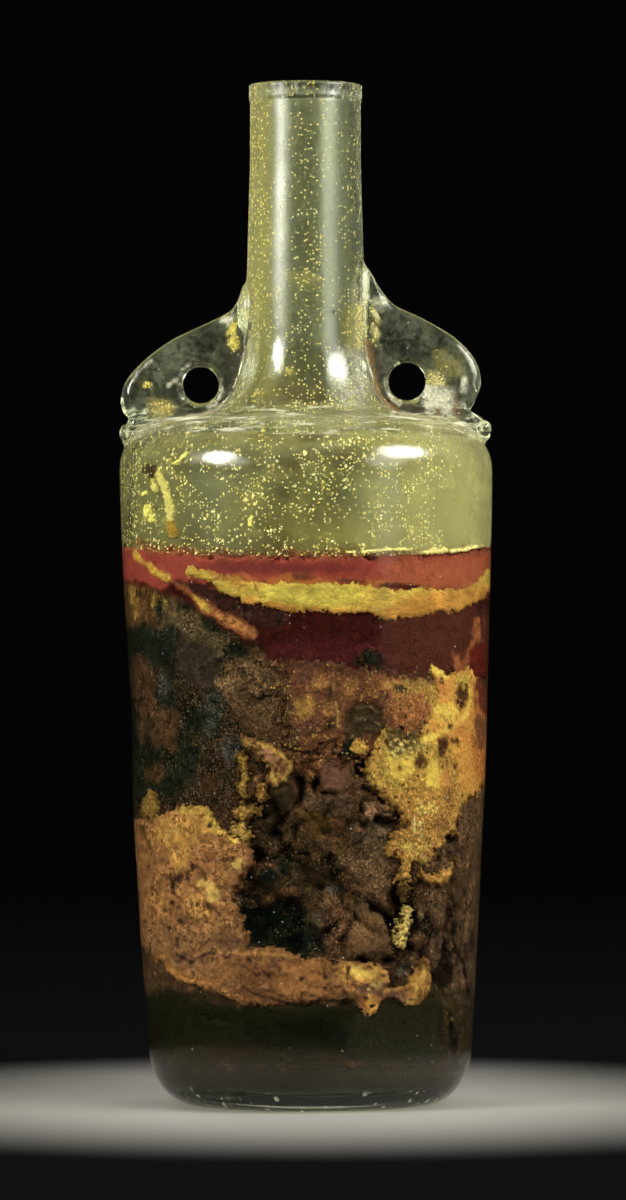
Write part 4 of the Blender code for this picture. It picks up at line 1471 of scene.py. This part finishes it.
oil_marks = (
    (MAROON, 4, between(sky, maroon_bottom)),
    (MAROON_LOW, 5, patch(-12, 137, 0, 138, 24, 137, 26, 128, 8, 128, -8, 130)),
    # A soft purple-grey glow of light painted over the maroon at the right.
    (MAROON_PAINTED_GLOW, 8, patch(27, 147, 60, 147, 60, 124, 30, 126)),
    (PURPLE_GREY, 3, patch(-38, 156, -26, 153, -18, 149.5, -6, 147.5, -8, 142, -20, 144.5, -27, 148,
        -32, 151.5)),
    (CRIMSON, 2.4, between(sky, crimson_bottom)),
    (DEEP_CRIMSON, 2.4, patch(-30, 161.5, 4, 161.8, 18, 160, 10, 158.6, -24, 158.6)),
    (SALMON, 7, patch(24, 161.5, 40, 163, 60, 165, 60, 154, 40, 153, 28, 156)),
    (SALMON_EDGE, 0.9, between(sky, edge_bottom)),
    (ORANGE_WAVE, 1.6, patch(-25, 156.8, -20, 158, -12, 156.8, -6, 157.6, 4, 158, 10, 157.4,
        20, 156.6, 30, 155.6, 38, 154.5, 38, 152, -24, 153)),
    ((0.05, 0.008, 0.006, 0.4), 1.2, patch(23, 155, 30, 155.4, 36, 154.6, 34, 153.6, 26, 153.6)),
    ((0.1, 0.022, 0.02, 0.4), 1.5, stroke(1.2, -3, 157.6, 8, 157, 18, 156)),
    (RIBBON_BROWN, 1.4, stroke(2.2, -44, 158.4, -38, 154.4, -33, 151)),
    (RIBBON_BROWN, 1.6, stroke(3.2, -31.5, 149.6, -26, 145.8, -20.5, 142.8, -16, 141)),
    ((0.32, 0.125, 0.05, 0.5), 1.2, stroke(1.6, -27, 146.4, -21, 143, -16, 141)),
    (RIBBON_YELLOW, 1.0, stroke(1.6, -51.4, 164.2, -48.8, 161.6, -45, 158.8, -42, 157),
        stroke(1.2, -34.4, 152, -31.6, 149.6, -29.6, 147.8)),
    (DRIP_SALMON, 1.6, stroke(2.4, 52.4, 144, 51.6, 139, 49.8, 135, 47.5, 130),
        stroke(1.7, 45.2, 135, 45.6, 131, 46.5, 128)),
    ((0.1, 0.012, 0.01, 0.5), 2, patch(50, 135, 54, 136, 54, 122, 50.5, 122)),
    (NEAR_BLACK, 2.2, oval(19.5, 132.4, 3.6, 2.4)),
)
crust(
    "red_oil", between(oil_top, sheet_bottom), (*AROUND, 116, 168), 0.7, dregs_finish, MAROON,
    (*core_marks, *oil_marks), thick=0.5, brim=0.8, gap=0.82, wobble=1.0, relief=0.0,
)


# A bright band of resin runs round under the oil, thickest at the front right, and ends at the
# left in a rounded tongue.
RESIN = (0.44, 0.285, 0.066)
RESIN_BRIGHT = (0.48, 0.36, 0.080)
RESIN_TAN = (0.30, 0.15, 0.038)
RESIN_ORANGE = (0.43, 0.20, 0.050)
resin_finish = caked("old_resin", 2.0, (2.0, 2.6, 3.0), 0.7, drawn_out=(2.0, 2.0, 1))
band_top = [-140, 157.5, -110, 157, -96, 155, -92, 151, -60, 150, -38, 154, -36.8, 159, -36, 160.2,
    -30, 159.3, -27, 159.2, -25, 157.8, -21, 157.2, -14, 155.8, -10, 155, -6, 156.3, 0, 155.7,
    2, 154.6, 5, 155.5, 15, 155.3, 20, 155, 23, 154.3, 26, 153.6, 30, 153.2, 35, 154, 40, 153.6,
    45, 153.8, 50, 154.8, 52, 156, 54, 158.5, 55, 160, 70, 157, 100, 155, 140, 157.5]
band_bottom = [-140, 150, -110, 151, -96, 153.5, -92, 154, -60, 160, -38, 160, -36.8, 158,
    -36, 157.5, -32, 156.8, -28, 155.8, -26, 153.4, -24, 152, -20, 151, -19, 149.9, -14, 149.5,
    -10, 148.5, -8, 147.8, -5, 147, 5, 147.3, 8.5, 146.4, 10.5, 146.2, 12, 147, 20, 146.8,
    22, 145.8, 24, 144.8, 27.5, 144.3, 28.5, 145.6, 30, 145.3, 32, 145.2, 34, 146, 36, 145.4,
    38, 146.7, 41, 147, 46, 147, 48, 148, 50, 149, 52, 150, 54, 151.5, 55, 153, 70, 150, 100, 147,
    140, 150]
crust(
    "resin_band", between(band_top, band_bottom), (*AROUND, 144, 161), 0.62, resin_finish, RESIN,
    (
        (RESIN_TAN, 2, patch(-29, 161, -18, 159, -16, 155.6, -28, 156.5)),
        (RESIN_BRIGHT, 3, patch(-14, 154.5, 16, 154.6, 17, 150, 6, 148.5, -12, 150.5)),
        (RESIN_ORANGE, 3, patch(30, 151, 56, 155, 57, 148, 36, 144, 20, 144.4)),
        (RESIN_ORANGE, 1.6, patch(-20, 151.6, -8, 149.2, 10, 148, 26, 146.6, 26, 143, 8, 145,
            -10, 146, -24, 150)),
        ((0.14, 0.04, 0.02), 0.8, stroke(0.7, -15, 155, -14, 151.5)),
    ),
    thick=0.4, brim=0.5, wobble=0.55, wobble_size=3.0, relief=0.28, relief_size=2.5,
)


# Crusts have grown on the glass below: a mottled brown one, a bright yellow bubbly one at the
# right, a tan one at the left with a tongue along the bottom, and crumbs and drips of the same.
brown_finish = caked(
    "brown_crust", 1.7, (2.4, 4.2, 7.0), 0.9, 0.7,
    ((0.8, 0.18, 0.45, (0.42, 0.26, 0.06)), (1.3, 0.08, 0.42, (0.03, 0.018, 0.01))),
)
OVAL_BROWN = (0.042, 0.023, 0.014, 0.6)
DARK_OVAL = patch(
    14, 119, 18, 120.5, 22, 120, 24, 117, 23.5, 113, 21, 110.5, 17, 108.5, 13, 105.5, 11, 106.5,
    11.5, 111, 11, 115,
)
crust(
    "brown_crust",
    patch(-8, 133, 0, 132.3, 8, 131.2, 20, 130.3, 35, 128.6, 42, 129, 46, 124, 44, 112, 36, 108,
        25, 112, 20, 106, 12, 103, 8, 108, 2, 105, -5, 107, -3.5, 112, -8, 116, -5, 120, -11, 124,
        -6.5, 127.5, -12, 131),
    (-14, 47, 101, 134), 0.6, brown_finish, (0.14, 0.052, 0.03),
    (
        ((0.34, 0.13, 0.06), 8, patch(22, 128, 44, 127, 44, 110, 30, 112)),
        ((0.5, 0.28, 0.085, 0.7), 4, patch(36, 128, 40, 129.5, 46, 128, 46, 108, 24, 106, 33, 111,
            38, 116)),
        ((0.42, 0.24, 0.075), 3, oval(33, 125, 4.2, 2.2), oval(27, 125.5, 2.4, 1.2),
            oval(38, 122, 3, 3.4)),
        ((0.32, 0.16, 0.055), 3, patch(-4, 121, 2, 120.5, 3, 116, -4, 116)),
        ((0.27, 0.12, 0.05), 3, oval(4, 126, 3.0, 2.2), oval(14, 124.5, 2.0, 2.0),
            oval(6, 117, 2.2, 1.6)),
        ((0.11, 0.045, 0.034), 3, oval(0, 127.5, 2.6, 1.6), oval(13, 128.6, 2.4, 1.2),
            oval(2, 112, 3.0, 2.4), oval(24, 121, 1.8, 1.4)),
        ((0.09, 0.036, 0.024), 3, between(sky,
            [-140, 129, -4, 130.5, 12, 129, 34, 126.5, 46, 125])),
        ((0.1, 0.05, 0.031, 1.4), 4,
            patch(-14, 134, -7.5, 133, -4, 124, -3, 112, -2, 104, -14, 104)),
        (OVAL_BROWN, 1.6, DARK_OVAL),
        (NEAR_BLACK, 1.4, patch(11, 108, 15, 108, 15, 104, 11, 104)),
        ((0.115, 0.075, 0.045), 0.6, stroke(0.4, 12.5, 111.5, 15.5, 114.5, 19.5, 115.2, 22.5, 113),
            stroke(0.35, 14, 109.5, 17, 111.8, 21, 112), stroke(0.35, 15, 118, 19, 118.6, 22, 117)),
        (DARK_BROWN, 1.0, oval(7.7, 122.5, 0.9, 2.2)),
        (DARK_BROWN, 1.6, oval(7, 113, 1.4, 1.6)),
        ((0.07, 0.045, 0.028), 1.2, oval(28.5, 124, 1.6, 1.3)),
        (GREEN_BLACK, 1.5, oval(20, 132, 2.2, 1.2)),
        ((0.34, 0.21, 0.08), 0.6, stroke(0.5, 8.8, 126.5, 8.8, 121, 10, 117, 10, 112.5)),
    ),
    thick=0.2, brim=0.5, gap=0.3, wobble=1.4, wobble_size=3.5, scatter=1.2, relief=0.4,
    relief_size=2.2, pits=((0.35, 1.6, DARK_OVAL),),
)

YELLOW = (0.53, 0.285, 0.082)
YELLOW_BRIGHT = (0.62, 0.39, 0.10)
YELLOW_ORANGE = (0.60, 0.21, 0.066)
BURNT = (0.105, 0.042, 0.022)
yellow_finish = caked(
    "yellow_crust", 1.5, (1.2, 2.8, 6.0), 0.9, 0.5,
    ((1.4, 0.08, 0.45, (0.16, 0.06, 0.02)), (2.6, 0.08, 0.4, (0.1, 0.035, 0.014))), bubbles=1.3,
)
CREAM_BEADS = spots(
    0.62, 0.62, 27.5, 108.6, 29.0, 107.3, 30.6, 108.2, 27.8, 106.0, 29.8, 105.4, 31.6, 106.4,
    33.0, 107.9, 26.2, 104.9, 32.6, 104.4, 30.7, 103.3, 34.2, 106.0, 27.2, 103.4, 25.6, 107.6,
    33.9, 103.4, 35.6, 107.2, 36.4, 105.0, 24.2, 109.6, 23.4, 106.6,
)
YELLOW_GROWTH = {
    "thick": 0.3, "brim": 0.5, "wobble_size": 4.0, "scatter": 1.0, "relief": 0.12,
    "relief_size": 2.0, "beads": ((1.5, 0.16),),
}
yellow_body = patch(
    38, 130.5, 39.5, 130, 41.5, 129.2, 43.5, 127.5, 46, 129, 50, 129.5, 54, 124, 60, 121, 57, 113,
    65, 107, 59, 100, 53.5, 96, 52, 94, 50, 92, 48, 90, 46.5, 87, 45.5, 84, 45, 81, 42.5, 80,
    41, 77, 38.5, 76, 39.5, 74.6, 38, 72.6, 36, 71.8, 33, 72, 31.6, 70, 31.4, 67.5, 30.6, 66.5,
    29.8, 68, 29.5, 71, 29, 73, 26.5, 74, 25.5, 76, 26.5, 78.5, 28, 80.5, 32, 82, 31, 84, 30, 86.5,
    28, 88, 26, 89.5, 24, 91.5, 22, 94, 20, 97, 19, 101, 20, 104, 22.5, 111, 25, 113, 30, 111,
    34, 112, 39, 118, 40, 124, rounds=2,
)
crust(
    "yellow_crust",
    several(yellow_body, patch(14, 108, 17, 108.5, 18.5, 106.5, 17.5, 104.5, 14.5, 104.8),
        patch(35.6, 68.6, 37, 66.8, 39.4, 65.6, 42, 66.4, 44, 68.6, 44.8, 70.8, 42.8, 69.3,
        39.6, 67.4, 37.4, 67.9)),
    (13, 67, 64, 131), 0.5, yellow_finish, YELLOW,
    (
        (YELLOW_BRIGHT, 6, patch(38, 122, 48, 122, 50, 108, 40, 106, 32, 96, 22, 96, 24, 106,
            34, 110)),
        ((0.58, 0.27, 0.074, 0.4), 3, patch(38, 131, 52, 131, 54, 112, 54, 92, 49, 92, 46, 97,
            44, 106, 34, 109, 37, 116)),
        ((0.66, 0.43, 0.1, 0.3), 2, patch(25, 104.5, 31, 105, 34, 102, 33, 98.5, 27, 98, 24.6, 101),
            oval(38.8, 98.5, 2.4, 4.0, 10), patch(39.4, 118, 42, 119.4, 45.4, 119, 45.6, 116,
            42, 113.6, 39.6, 114.6)),
        ((0.72, 0.49, 0.12, 0.3), 1.2, stroke(1.3, 48.4, 127, 49.8, 122, 49, 117.6, 46, 114,
            42, 111.4, 36, 108.8, 33.6, 107), stroke(1.4, 38.3, 130.4, 39.6, 129.5, 43, 127.6)),
        ((0.5, 0.2, 0.07, 0.4), 2, oval(42.6, 97, 1.2, 2.8), oval(47, 111, 1.6, 2.4),
            oval(41, 124, 2.6, 2.4), oval(51, 104, 1.4, 3.4)),
        (YELLOW_BRIGHT, 2, oval(47.5, 126.5, 2.5, 2.8)),
        (YELLOW_ORANGE, 4, patch(51, 126, 60, 126, 60, 96, 51.5, 98)),
        ((0.13, 0.03, 0.022, 0.5), 2, patch(52, 128, 60, 128, 60, 117, 52.4, 117)),
        ((0.2, 0.075, 0.04, 0.6), 2, patch(51, 116, 54, 115, 54, 106, 51, 107)),
        ((0.54, 0.27, 0.085), 5, patch(24, 90, 46, 90, 46, 66, 24, 66)),
        ((0.7, 0.46, 0.14), 2, oval(35.8, 73.6, 2.4, 3.4), oval(30, 77, 1.4, 1.4),
            oval(37, 88, 3.0, 2.0)),
        ((0.36, 0.17, 0.065), 2.5, oval(28.5, 79.5, 1.8, 1.2), oval(41, 84, 2.4, 3.0),
            oval(37, 74, 2.4, 1.6), oval(24, 93, 1.6, 1.6), oval(43.5, 92, 1.8, 2.6)),
        ((0.15, 0.09, 0.04), 2.5, patch(24, 112, 32, 113.5, 35, 108, 31, 104.5, 24.5, 106)),
        ((0.46, 0.25, 0.095), 0.9, stroke(1.5, 23.6, 112, 27, 115, 31, 116, 34, 113.5)),
        ((0.05, 0.044, 0.026), 1.4, oval(30.4, 111, 1.7, 1.5)),
        ((0.66, 0.48, 0.18), 0.5, CREAM_BEADS),
        (BURNT, 1.6, oval(47.2, 121.5, 1.7, 3.2), oval(35.5, 113.2, 1.8, 2.0)),
        (BURNT, 1.4, oval(41.7, 107, 1.3, 3.0)),
        (BURNT, 1.2, oval(45.2, 108.2, 0.9, 0.8)),
        (BURNT, 1.8, oval(35, 102.3, 1.9, 2.6)),
        (BURNT, 1.0, oval(28.5, 100.3, 0.8, 0.8), oval(45.5, 101, 0.8, 0.9),
            oval(44, 112.8, 0.8, 0.8)),
        # Painted glints: two thin white upright highlights.
        ((0.75, 0.62, 0.35), 0.5, stroke(0.35, 33, 85.5, 33, 81), stroke(0.35, 35, 84, 35, 79.5)),
    ),
    wobble=0.55, **YELLOW_GROWTH,
    pits=(
        (0.12, 1.4, oval(47.2, 121.5, 1.7, 3.2), oval(35, 113.6, 2.0, 2.3),
            oval(41.7, 107, 1.3, 3.0), oval(35, 102.3, 2.1, 2.8)),
    ),
)

TAN = (0.33, 0.145, 0.068)
TAN_LIGHT = (0.50, 0.25, 0.085)
TAN_DIM = (0.23, 0.105, 0.050)
TAN_GROWTH = {"thick": 0.8, "brim": 0.8, "wobble_size": 4.5, "relief": 0.9, "relief_size": 3.4}
VEIN_PURPLE = (0.070, 0.028, 0.024)
DARK_SPOTS = spots(
    0.45, 0.4, -27, 74.8, -25, 75.2, -23, 75, -38, 58.5, -34.8, 55.3, -37.8, 54.3, -40.3, 60,
    -33.3, 50.5, -34.5, 46.3, -22, 73, -40.5, 79.6, -26.4, 77.4, -30.4, 80, -32, 85.8, -29.2, 83,
    -43, 57.6, -45.6, 71.4, -24.4, 60.4, -36.4, 49, -41, 52.4, -24.2, 47.4,
)
tan_finish = caked(
    "tan_crust", 2.4, (3.0, 3.6, 2.8), 0.9, 1.4,
    ((1.2, 0.06, 0.4, (0.07, 0.028, 0.018)), (2.4, 0.07, 0.38, (0.1, 0.045, 0.03))),
)
crust(
    "tan_crust",
    several(patch(-47, 84, -44, 86, -40, 87.5, -38, 88.5, -35, 88.5, -33, 89.2, -30, 88.8,
        -29.5, 87, -27, 84, -26.5, 82, -24, 81.5, -22, 79.5, -18, 77.5, -17, 75, -17, 72, -18, 70,
        -19.5, 68, -20, 66, -22, 64, -23, 62, -22, 59, -20.5, 56, -20, 53, -19, 51, -18.6, 49,
        -19, 47, -19.5, 44, -20, 38, -19, 30, -24, 32, -28, 33, -31, 34, -34, 35.5, -37, 36,
        -40, 38, -42, 39.5, -43, 42, -44, 44.5, -45.5, 42.5, -47, 45, -50, 47, -59, 46, -70, 51,
        -64, 59, -74, 68, -66, 77, -58, 82, -50, 85, rounds=2), patch(-22, 45, -16, 45, -12, 45.5,
        -8, 45.5, -5, 44, -3, 43, 0, 42, 3, 42.5, 6, 42.3, 9, 41, 12, 42, 16, 41.5, 20, 41, 23, 40,
        25, 38.5, 26, 36.5, 25, 34.7, 27, 34, 30, 34.5, 32, 36.5, 34, 39, 36, 41.5, 37, 43, 38, 41,
        38, 35, 36, 32, 34.5, 29.5, 32, 29, 30, 29.5, 28, 31, 24, 31, 22, 30, 22, 28, 20, 26,
        18.5, 25.5, 17, 27, 16, 29, 14, 30.5, 10, 30.5, 5, 30.3, 0, 30, -5, 29.5, -10, 28.5,
        -16, 29, -22, 31, rounds=2)),
    (-76, 39, 25, 90), 0.5, tan_finish, TAN,
    (
        (TAN_LIGHT, 4, patch(-46, 84, -32, 88, -28, 84, -32, 78, -44, 76)),
        (TAN_LIGHT, 3, oval(-38, 74, 2.6, 4.4), oval(-34, 60, 2.4, 3.4), oval(-31, 55, 2.6, 2.6),
            oval(-44.5, 61, 2.0, 1.4)),
        ((0.3, 0.14, 0.07), 6, patch(-45, 54, -22, 54, -20, 44, -45, 38)),
        ((0.17, 0.078, 0.045, 0.6), 3, patch(-27, 51, -20.5, 49, -21, 45, -27, 46),
            patch(-40, 45, -35, 44.5, -34, 40.5, -39, 40), oval(-21, 70.5, 2.2, 2.0)),
        ((0.19, 0.08, 0.04), 8, patch(-20, 43, 6, 40, 9, 29, -18, 28)),
        ((0.56, 0.34, 0.09), 1.6, stroke(2.2, -39, 87, -35, 87.6, -31, 88, -29.4, 85.6, -26.6, 82.6,
            -24, 80.4, -22, 79)),
        ((0.25, 0.105, 0.045, 0.4), 3, patch(-8, 42, 5, 42.4, 6, 33, -4, 31.5, -10, 35)),
        ((0.38, 0.18, 0.068, 0.6), 1, stroke(1.4, -19, 44.6, -12, 44.8, -8, 44.6, -5, 43.4)),
        # Painted shadow under the lighter slab just above it.
        ((0.14, 0.062, 0.038, 0.6), 1.6, patch(-11, 43.2, -6.6, 42, -7.4, 38.6, -9.4, 40)),
        ((0.41, 0.2, 0.068, 0.5), 2, patch(9.4, 39.5, 13, 41.5, 20, 41, 25, 38.6, 25.4, 36,
            15, 35.4, 10, 36.5)),
        ((0.66, 0.42, 0.12, 0.4), 1.6, oval(17, 38.6, 2.8, 1.5)),
        ((0.15, 0.07, 0.05, 0.6), 1.6,
            patch(15, 35, 26, 35.4, 31, 32.4, 27, 28.6, 22.6, 32, 16, 33)),
        ((0.12, 0.06, 0.028), 1.6, patch(9.6, 33, 15.6, 33, 15.6, 28.6, 9.6, 28.6)),
        ((0.6, 0.42, 0.17), 0.6, oval(20.4, 35, 0.7, 0.6), oval(21.8, 34.2, 0.6, 0.6),
            oval(19.4, 33.8, 0.5, 0.4), oval(22.4, 35.2, 0.5, 0.4)),
        ((0.48, 0.23, 0.065), 1.4, patch(17, 31, 21.5, 31.6, 21, 27, 18.5, 26.4)),
        ((0.3, 0.095, 0.035), 0.7, stroke(0.8, 17, 31.4, 17.4, 29, 19, 27.8)),
        ((0.3, 0.14, 0.046), 3, patch(31, 36, 38, 43, 39, 34, 33, 29.5)),
        ((0.58, 0.33, 0.105, 0.5), 1.4, stroke(1.6, 36.4, 40, 34.6, 36.6, 33.2, 33, 32.6, 30)),
        ((0.42, 0.2, 0.06, 0.5), 1.2, stroke(1.4, 24.4, 33.6, 28, 33.8, 31.4, 35.4, 35, 40.4)),
        (VEIN_PURPLE, 0.6, stroke(0.5, -20, 35, -15, 32.2, -7.5, 29.9, 2.5, 30.4, 9.5, 31.8),
            stroke(0.4, -19, 37, -13, 34, -6, 31.8, 2, 32),
            stroke(0.5, -17.4, 43, -13.6, 40.4, -10.4, 36.8),
            stroke(0.4, -19, 41, -15, 38.2, -12.4, 35.4), stroke(0.5, -15.6, 34.9, -13.4, 34.6),
            stroke(0.6, 6, 42, 5.9, 37.4), stroke(0.4, 13.2, 40.6, 12.8, 37),
            stroke(0.5, 26, 36.4, 25.2, 35.4), spots(0.62, 0.56, 9.4, 37.6, 6, 34, 6.1, 37.4,
            11.6, 33.2, 18.4, 31.4), spots(0.3, 0.3, -5.5, 36.7, -1.2, 37, 0.8, 39, 23.5, 38.2,
            4.4, 31.4)),
        ((0.36, 0.155, 0.055, 0.5), 1.6, stroke(2.0, -44, 43, -42, 39.6, -38, 37.6, -31, 36.2)),
        ((0.6, 0.37, 0.13, 0.5), 1.8, oval(-28.2, 62.5, 1.4, 2.4), oval(-32, 66, 1.4, 1.0),
            oval(-20.6, 71.6, 0.9, 1.2), oval(-39.2, 82, 0.7, 0.9)),
        (VEIN_PURPLE, 1.1, oval(-39.3, 67.0, 1.5, 1.2),
            stroke(0.9, -40.6, 68.4, -39.6, 66, -40.4, 63), stroke(0.8, -37.6, 67.6, -38.4, 65.8),
            stroke(0.9, -35, 71, -35.6, 67.4, -33.8, 64.7),
            stroke(0.5, -35, 71, -32.6, 70.6, -31, 68.6, -30.5, 67.2),
            stroke(0.8, -27.2, 68.2, -24.5, 65.7), stroke(0.6, -29.6, 59.2, -28, 58.2, -26, 56.3),
            stroke(0.5, -30.5, 56, -30, 54.3), stroke(0.45, -34.6, 60.4, -34.4, 58)),
        (VEIN_PURPLE, 0.7, DARK_SPOTS),
        (VEIN_PURPLE, 0.8, stroke(0.6, -39, 44.3, -36.5, 43, -35, 42, -32, 43.6, -28.5, 44.8,
            -24, 43.6, -20.6, 44)),
        ((0.1, 0.05, 0.02), 0.8, stroke(0.6, -49.5, 82.5, -48.3, 79.5, -47, 76)),
    ),
    wobble=0.5, **TAN_GROWTH,
    pits=(
        (0.7, 1.4, stroke(1.4, -41, 67, -39, 64.5, -37, 62.5),
            stroke(1.2, -35, 71, -33.5, 67, -34, 64)),
    ),
)

MARBLED = (0.26, 0.125, 0.055)
marbled_marks = (
    ((0.44, 0.25, 0.075, 0.5), 0.8, stroke(1.2, -19, 108, -15.4, 107, -13.6, 103, -12, 100.4,
        -10, 98, -9, 96), stroke(1.0, -15, 108, -11, 106, -7, 104, -4.6, 102, -4.4, 99.6, -7, 97),
        stroke(0.7, -12.6, 102, -10, 100.4, -8, 98)),
    ((0.34, 0.15, 0.1, 0.4), 1.0, patch(-13, 105.6, -10, 105, -9.6, 101.6, -12, 102.4)),
    ((0.13, 0.035, 0.022), 0.6, oval(-8, 101.6, 0.6, 0.8), oval(-6.6, 100.2, 0.7, 0.6),
        oval(-9, 99.6, 0.5, 0.9), oval(-7.2, 102.6, 0.6, 0.4)),
)
crust(
    "yellow_scab",
    patch(-20, 108.5, -17, 109, -14, 108, -11, 107, -8, 105, -5, 103, -4, 101.5, -4, 99.5, -6, 97.5,
        -8, 95.5, -10, 95, -12, 97, -10, 99.5, -12, 102, -16, 105),
    (-21, -3, 94, 110), 0.5, yellow_finish, MARBLED, marbled_marks, thick=0.6, brim=1.0, wobble=0.6,
    relief=0.3,
)
crust(
    "tan_crust_back",
    patch(-127, 64, -120, 76, -108, 79, -97, 73, -91, 62, -95, 50, -105, 43, -116, 45, -123, 54),
    (-134, -87, 38, 82), 0.7, tan_finish, TAN,
    (
        (TAN_LIGHT, 4, oval(-116, 68, 5, 4), oval(-100, 62, 4, 5), oval(-106, 48, 5, 3)),
        (TAN_DIM, 5, oval(-108, 58, 5, 4), oval(-120, 54, 4, 3)),
        (VEIN_PURPLE, 0.9, stroke(0.8, -112, 72, -109, 66, -112, 60),
            stroke(0.8, -102, 54, -98, 50)),
    ),
    wobble=1.4, **TAN_GROWTH,
)
crust(
    "yellow_crust_back",
    patch(84, 122, 92, 127, 100, 122, 110, 124, 114, 112, 106, 106, 108, 96, 98, 90, 94, 98,
        88, 102, 91, 112),
    (80, 118, 86, 131), 0.6, yellow_finish, YELLOW,
    (
        (YELLOW_BRIGHT, 4, oval(94, 120, 5, 3), oval(106, 116, 4, 4), oval(100, 98, 4, 4)),
        (YELLOW_ORANGE, 4, oval(100, 110, 5, 4), oval(88, 108, 3, 4)),
        (BURNT, 1.6, oval(98, 116, 1.6, 2.4), oval(103, 103, 1.4, 1.8), oval(109, 119, 1.2, 1.2)),
    ),
    wobble=1.2, **YELLOW_GROWTH,
)
# name: (shape, span, colour)
SCRAPS = {
    "yellow_strip": (patch(-20.6, 104.5, -18.6, 104, -18, 100, -17, 97, -18.4, 94, -17.8, 91.4,
        -19.6, 92.4, -20, 96, -19.4, 99, -20.8, 101.5), (-22, -17, 91, 105), (0.36, 0.2, 0.06)),
    "yellow_wedge": (patch(-15, 95, -12, 95, -12.5, 92, -13.2, 90), (-16, -11, 89, 96),
        (0.34, 0.17, 0.055)),
    "tan_crumb_high": (patch(-21.6, 88, -19.4, 89.2, -17.6, 88, -15.4, 88.8, -15, 86.4, -17.6, 85.8,
        -19, 84.4, -21.4, 85.4), (-23, -14, 83, 91), (0.36, 0.19, 0.06)),
    "tan_crumb_low": (patch(-22.4, 82, -20, 83.4, -18.2, 82, -17.6, 79.6, -19, 77.8, -20.4, 79.6,
        -22, 79), (-23, -16, 76, 85), (0.5, 0.29, 0.09)),
    "yellow_edge_scab": (patch(-47, 93.5, -49, 91, -49.5, 88, -48, 85, -46.5, 84.3, -45, 86,
        -44.5, 88.5, -45.5, 91), (-51, -43, 83, 95), (0.3, 0.17, 0.05)),
    "yellow_drop": (patch(31.4, 58.6, 30.4, 57, 29.4, 54.4, 28.4, 51.8, 27.8, 49.4, 27.9, 47.4,
        28.8, 46.4, 30, 47.2, 30.8, 49.6, 31.3, 52, 31.5, 54.4, 31.8, 57), (25, 33, 45, 60),
        (0.8, 0.55, 0.21)),
    "thin_drip": (patch(29.6, 66, 31, 66, 30.8, 61.5, 29.8, 61), (28, 32, 60, 67),
        (0.22, 0.13, 0.05)),
}
for scrap_name, (scrap_shape, scrap_span, scrap_colour) in SCRAPS.items():
    crust(
        scrap_name, scrap_shape, scrap_span, 0.4, yellow_finish, scrap_colour,
        thick=0.5, brim=0.8, wobble=0.7, wobble_size=1.8, scatter=0.5, relief=0.3, relief_size=1.6,
    )

# Cream scum lines the liquid's edge at the right. Above it a thick drip has run down the glass at
# the left, and flakes of dried resin cling to the wall.
scum_finish = caked("dried_scum", 1.2, (0.8, 1.6, 2.0), 0.6)
CREAM = (0.90, 0.76, 0.36)
FLAKE = (0.85, 0.76, 0.24)
DARK_HEAD = (0.045, 0.022, 0.008)
AMBER = (0.30, 0.17, 0.03)
# name: (shape, span, colour, marks)
HEAD_PIECES = {
    "cream_scum": (several(stroke(0.9, 12.5, 165.0, 15, 164.7),
        stroke(1.0, 17.5, 165.0, 25, 165.6, 32.5, 165.7), stroke(1.4, 35.5, 164.8, 42.5, 165.5),
        stroke(1.3, 44, 165.2, 49, 165.8, 53.5, 167)), (12, 54, 163, 169), CREAM, ()),
    "dried_drip": (
        several(stroke(2.6, -48, 189.6, -45.5, 189.8),
            stroke(2.3, -45, 189, -43, 185, -41.6, 181, -41, 177, -41, 172),
            stroke(2.9, -40.6, 172.5, -40.2, 170.2), stroke(1.6, -47, 187.5, -45.6, 183.5)),
        (-51, -37, 166, 193), (0.62, 0.52, 0.19),
        (
            (DARK_HEAD, 1.5, patch(-51, 193, -44.5, 193, -44.5, 188.8, -47, 186, -51, 186)),
            (AMBER, 1.5, patch(-43, 174, -37, 174, -37, 167, -43, 167)),
        ),
    ),
    "flake_high_left": (patch(-40, 191.5, -38, 193, -36.3, 194.8, -36, 193.5, -38, 191.5,
        -39.3, 191), (-42, -34, 189, 197), FLAKE, ()),
    "flake_edge_left": (several(oval(-49, 182.5, 0.7, 1.0), oval(-48, 177, 1.0, 2.2),
        oval(-47, 174.5, 0.9, 0.9)), (-51, -45, 171, 185), FLAKE, ()),
    "flake_low_left": (oval(-16.6, 173.8, 0.8, 1.9), (-20, -13, 169, 178), FLAKE, ()),
}
for piece_name, (piece_shape, piece_span, piece_colour, piece_marks) in HEAD_PIECES.items():
    crust(
        piece_name, piece_shape, piece_span, 0.35, scum_finish, piece_colour, piece_marks,
        thick=0.5, brim=0.5, gap=-0.1, wobble=0.2, wobble_size=2.4, relief=0.15, relief_size=1.2,
        skirt=0.15,
    )
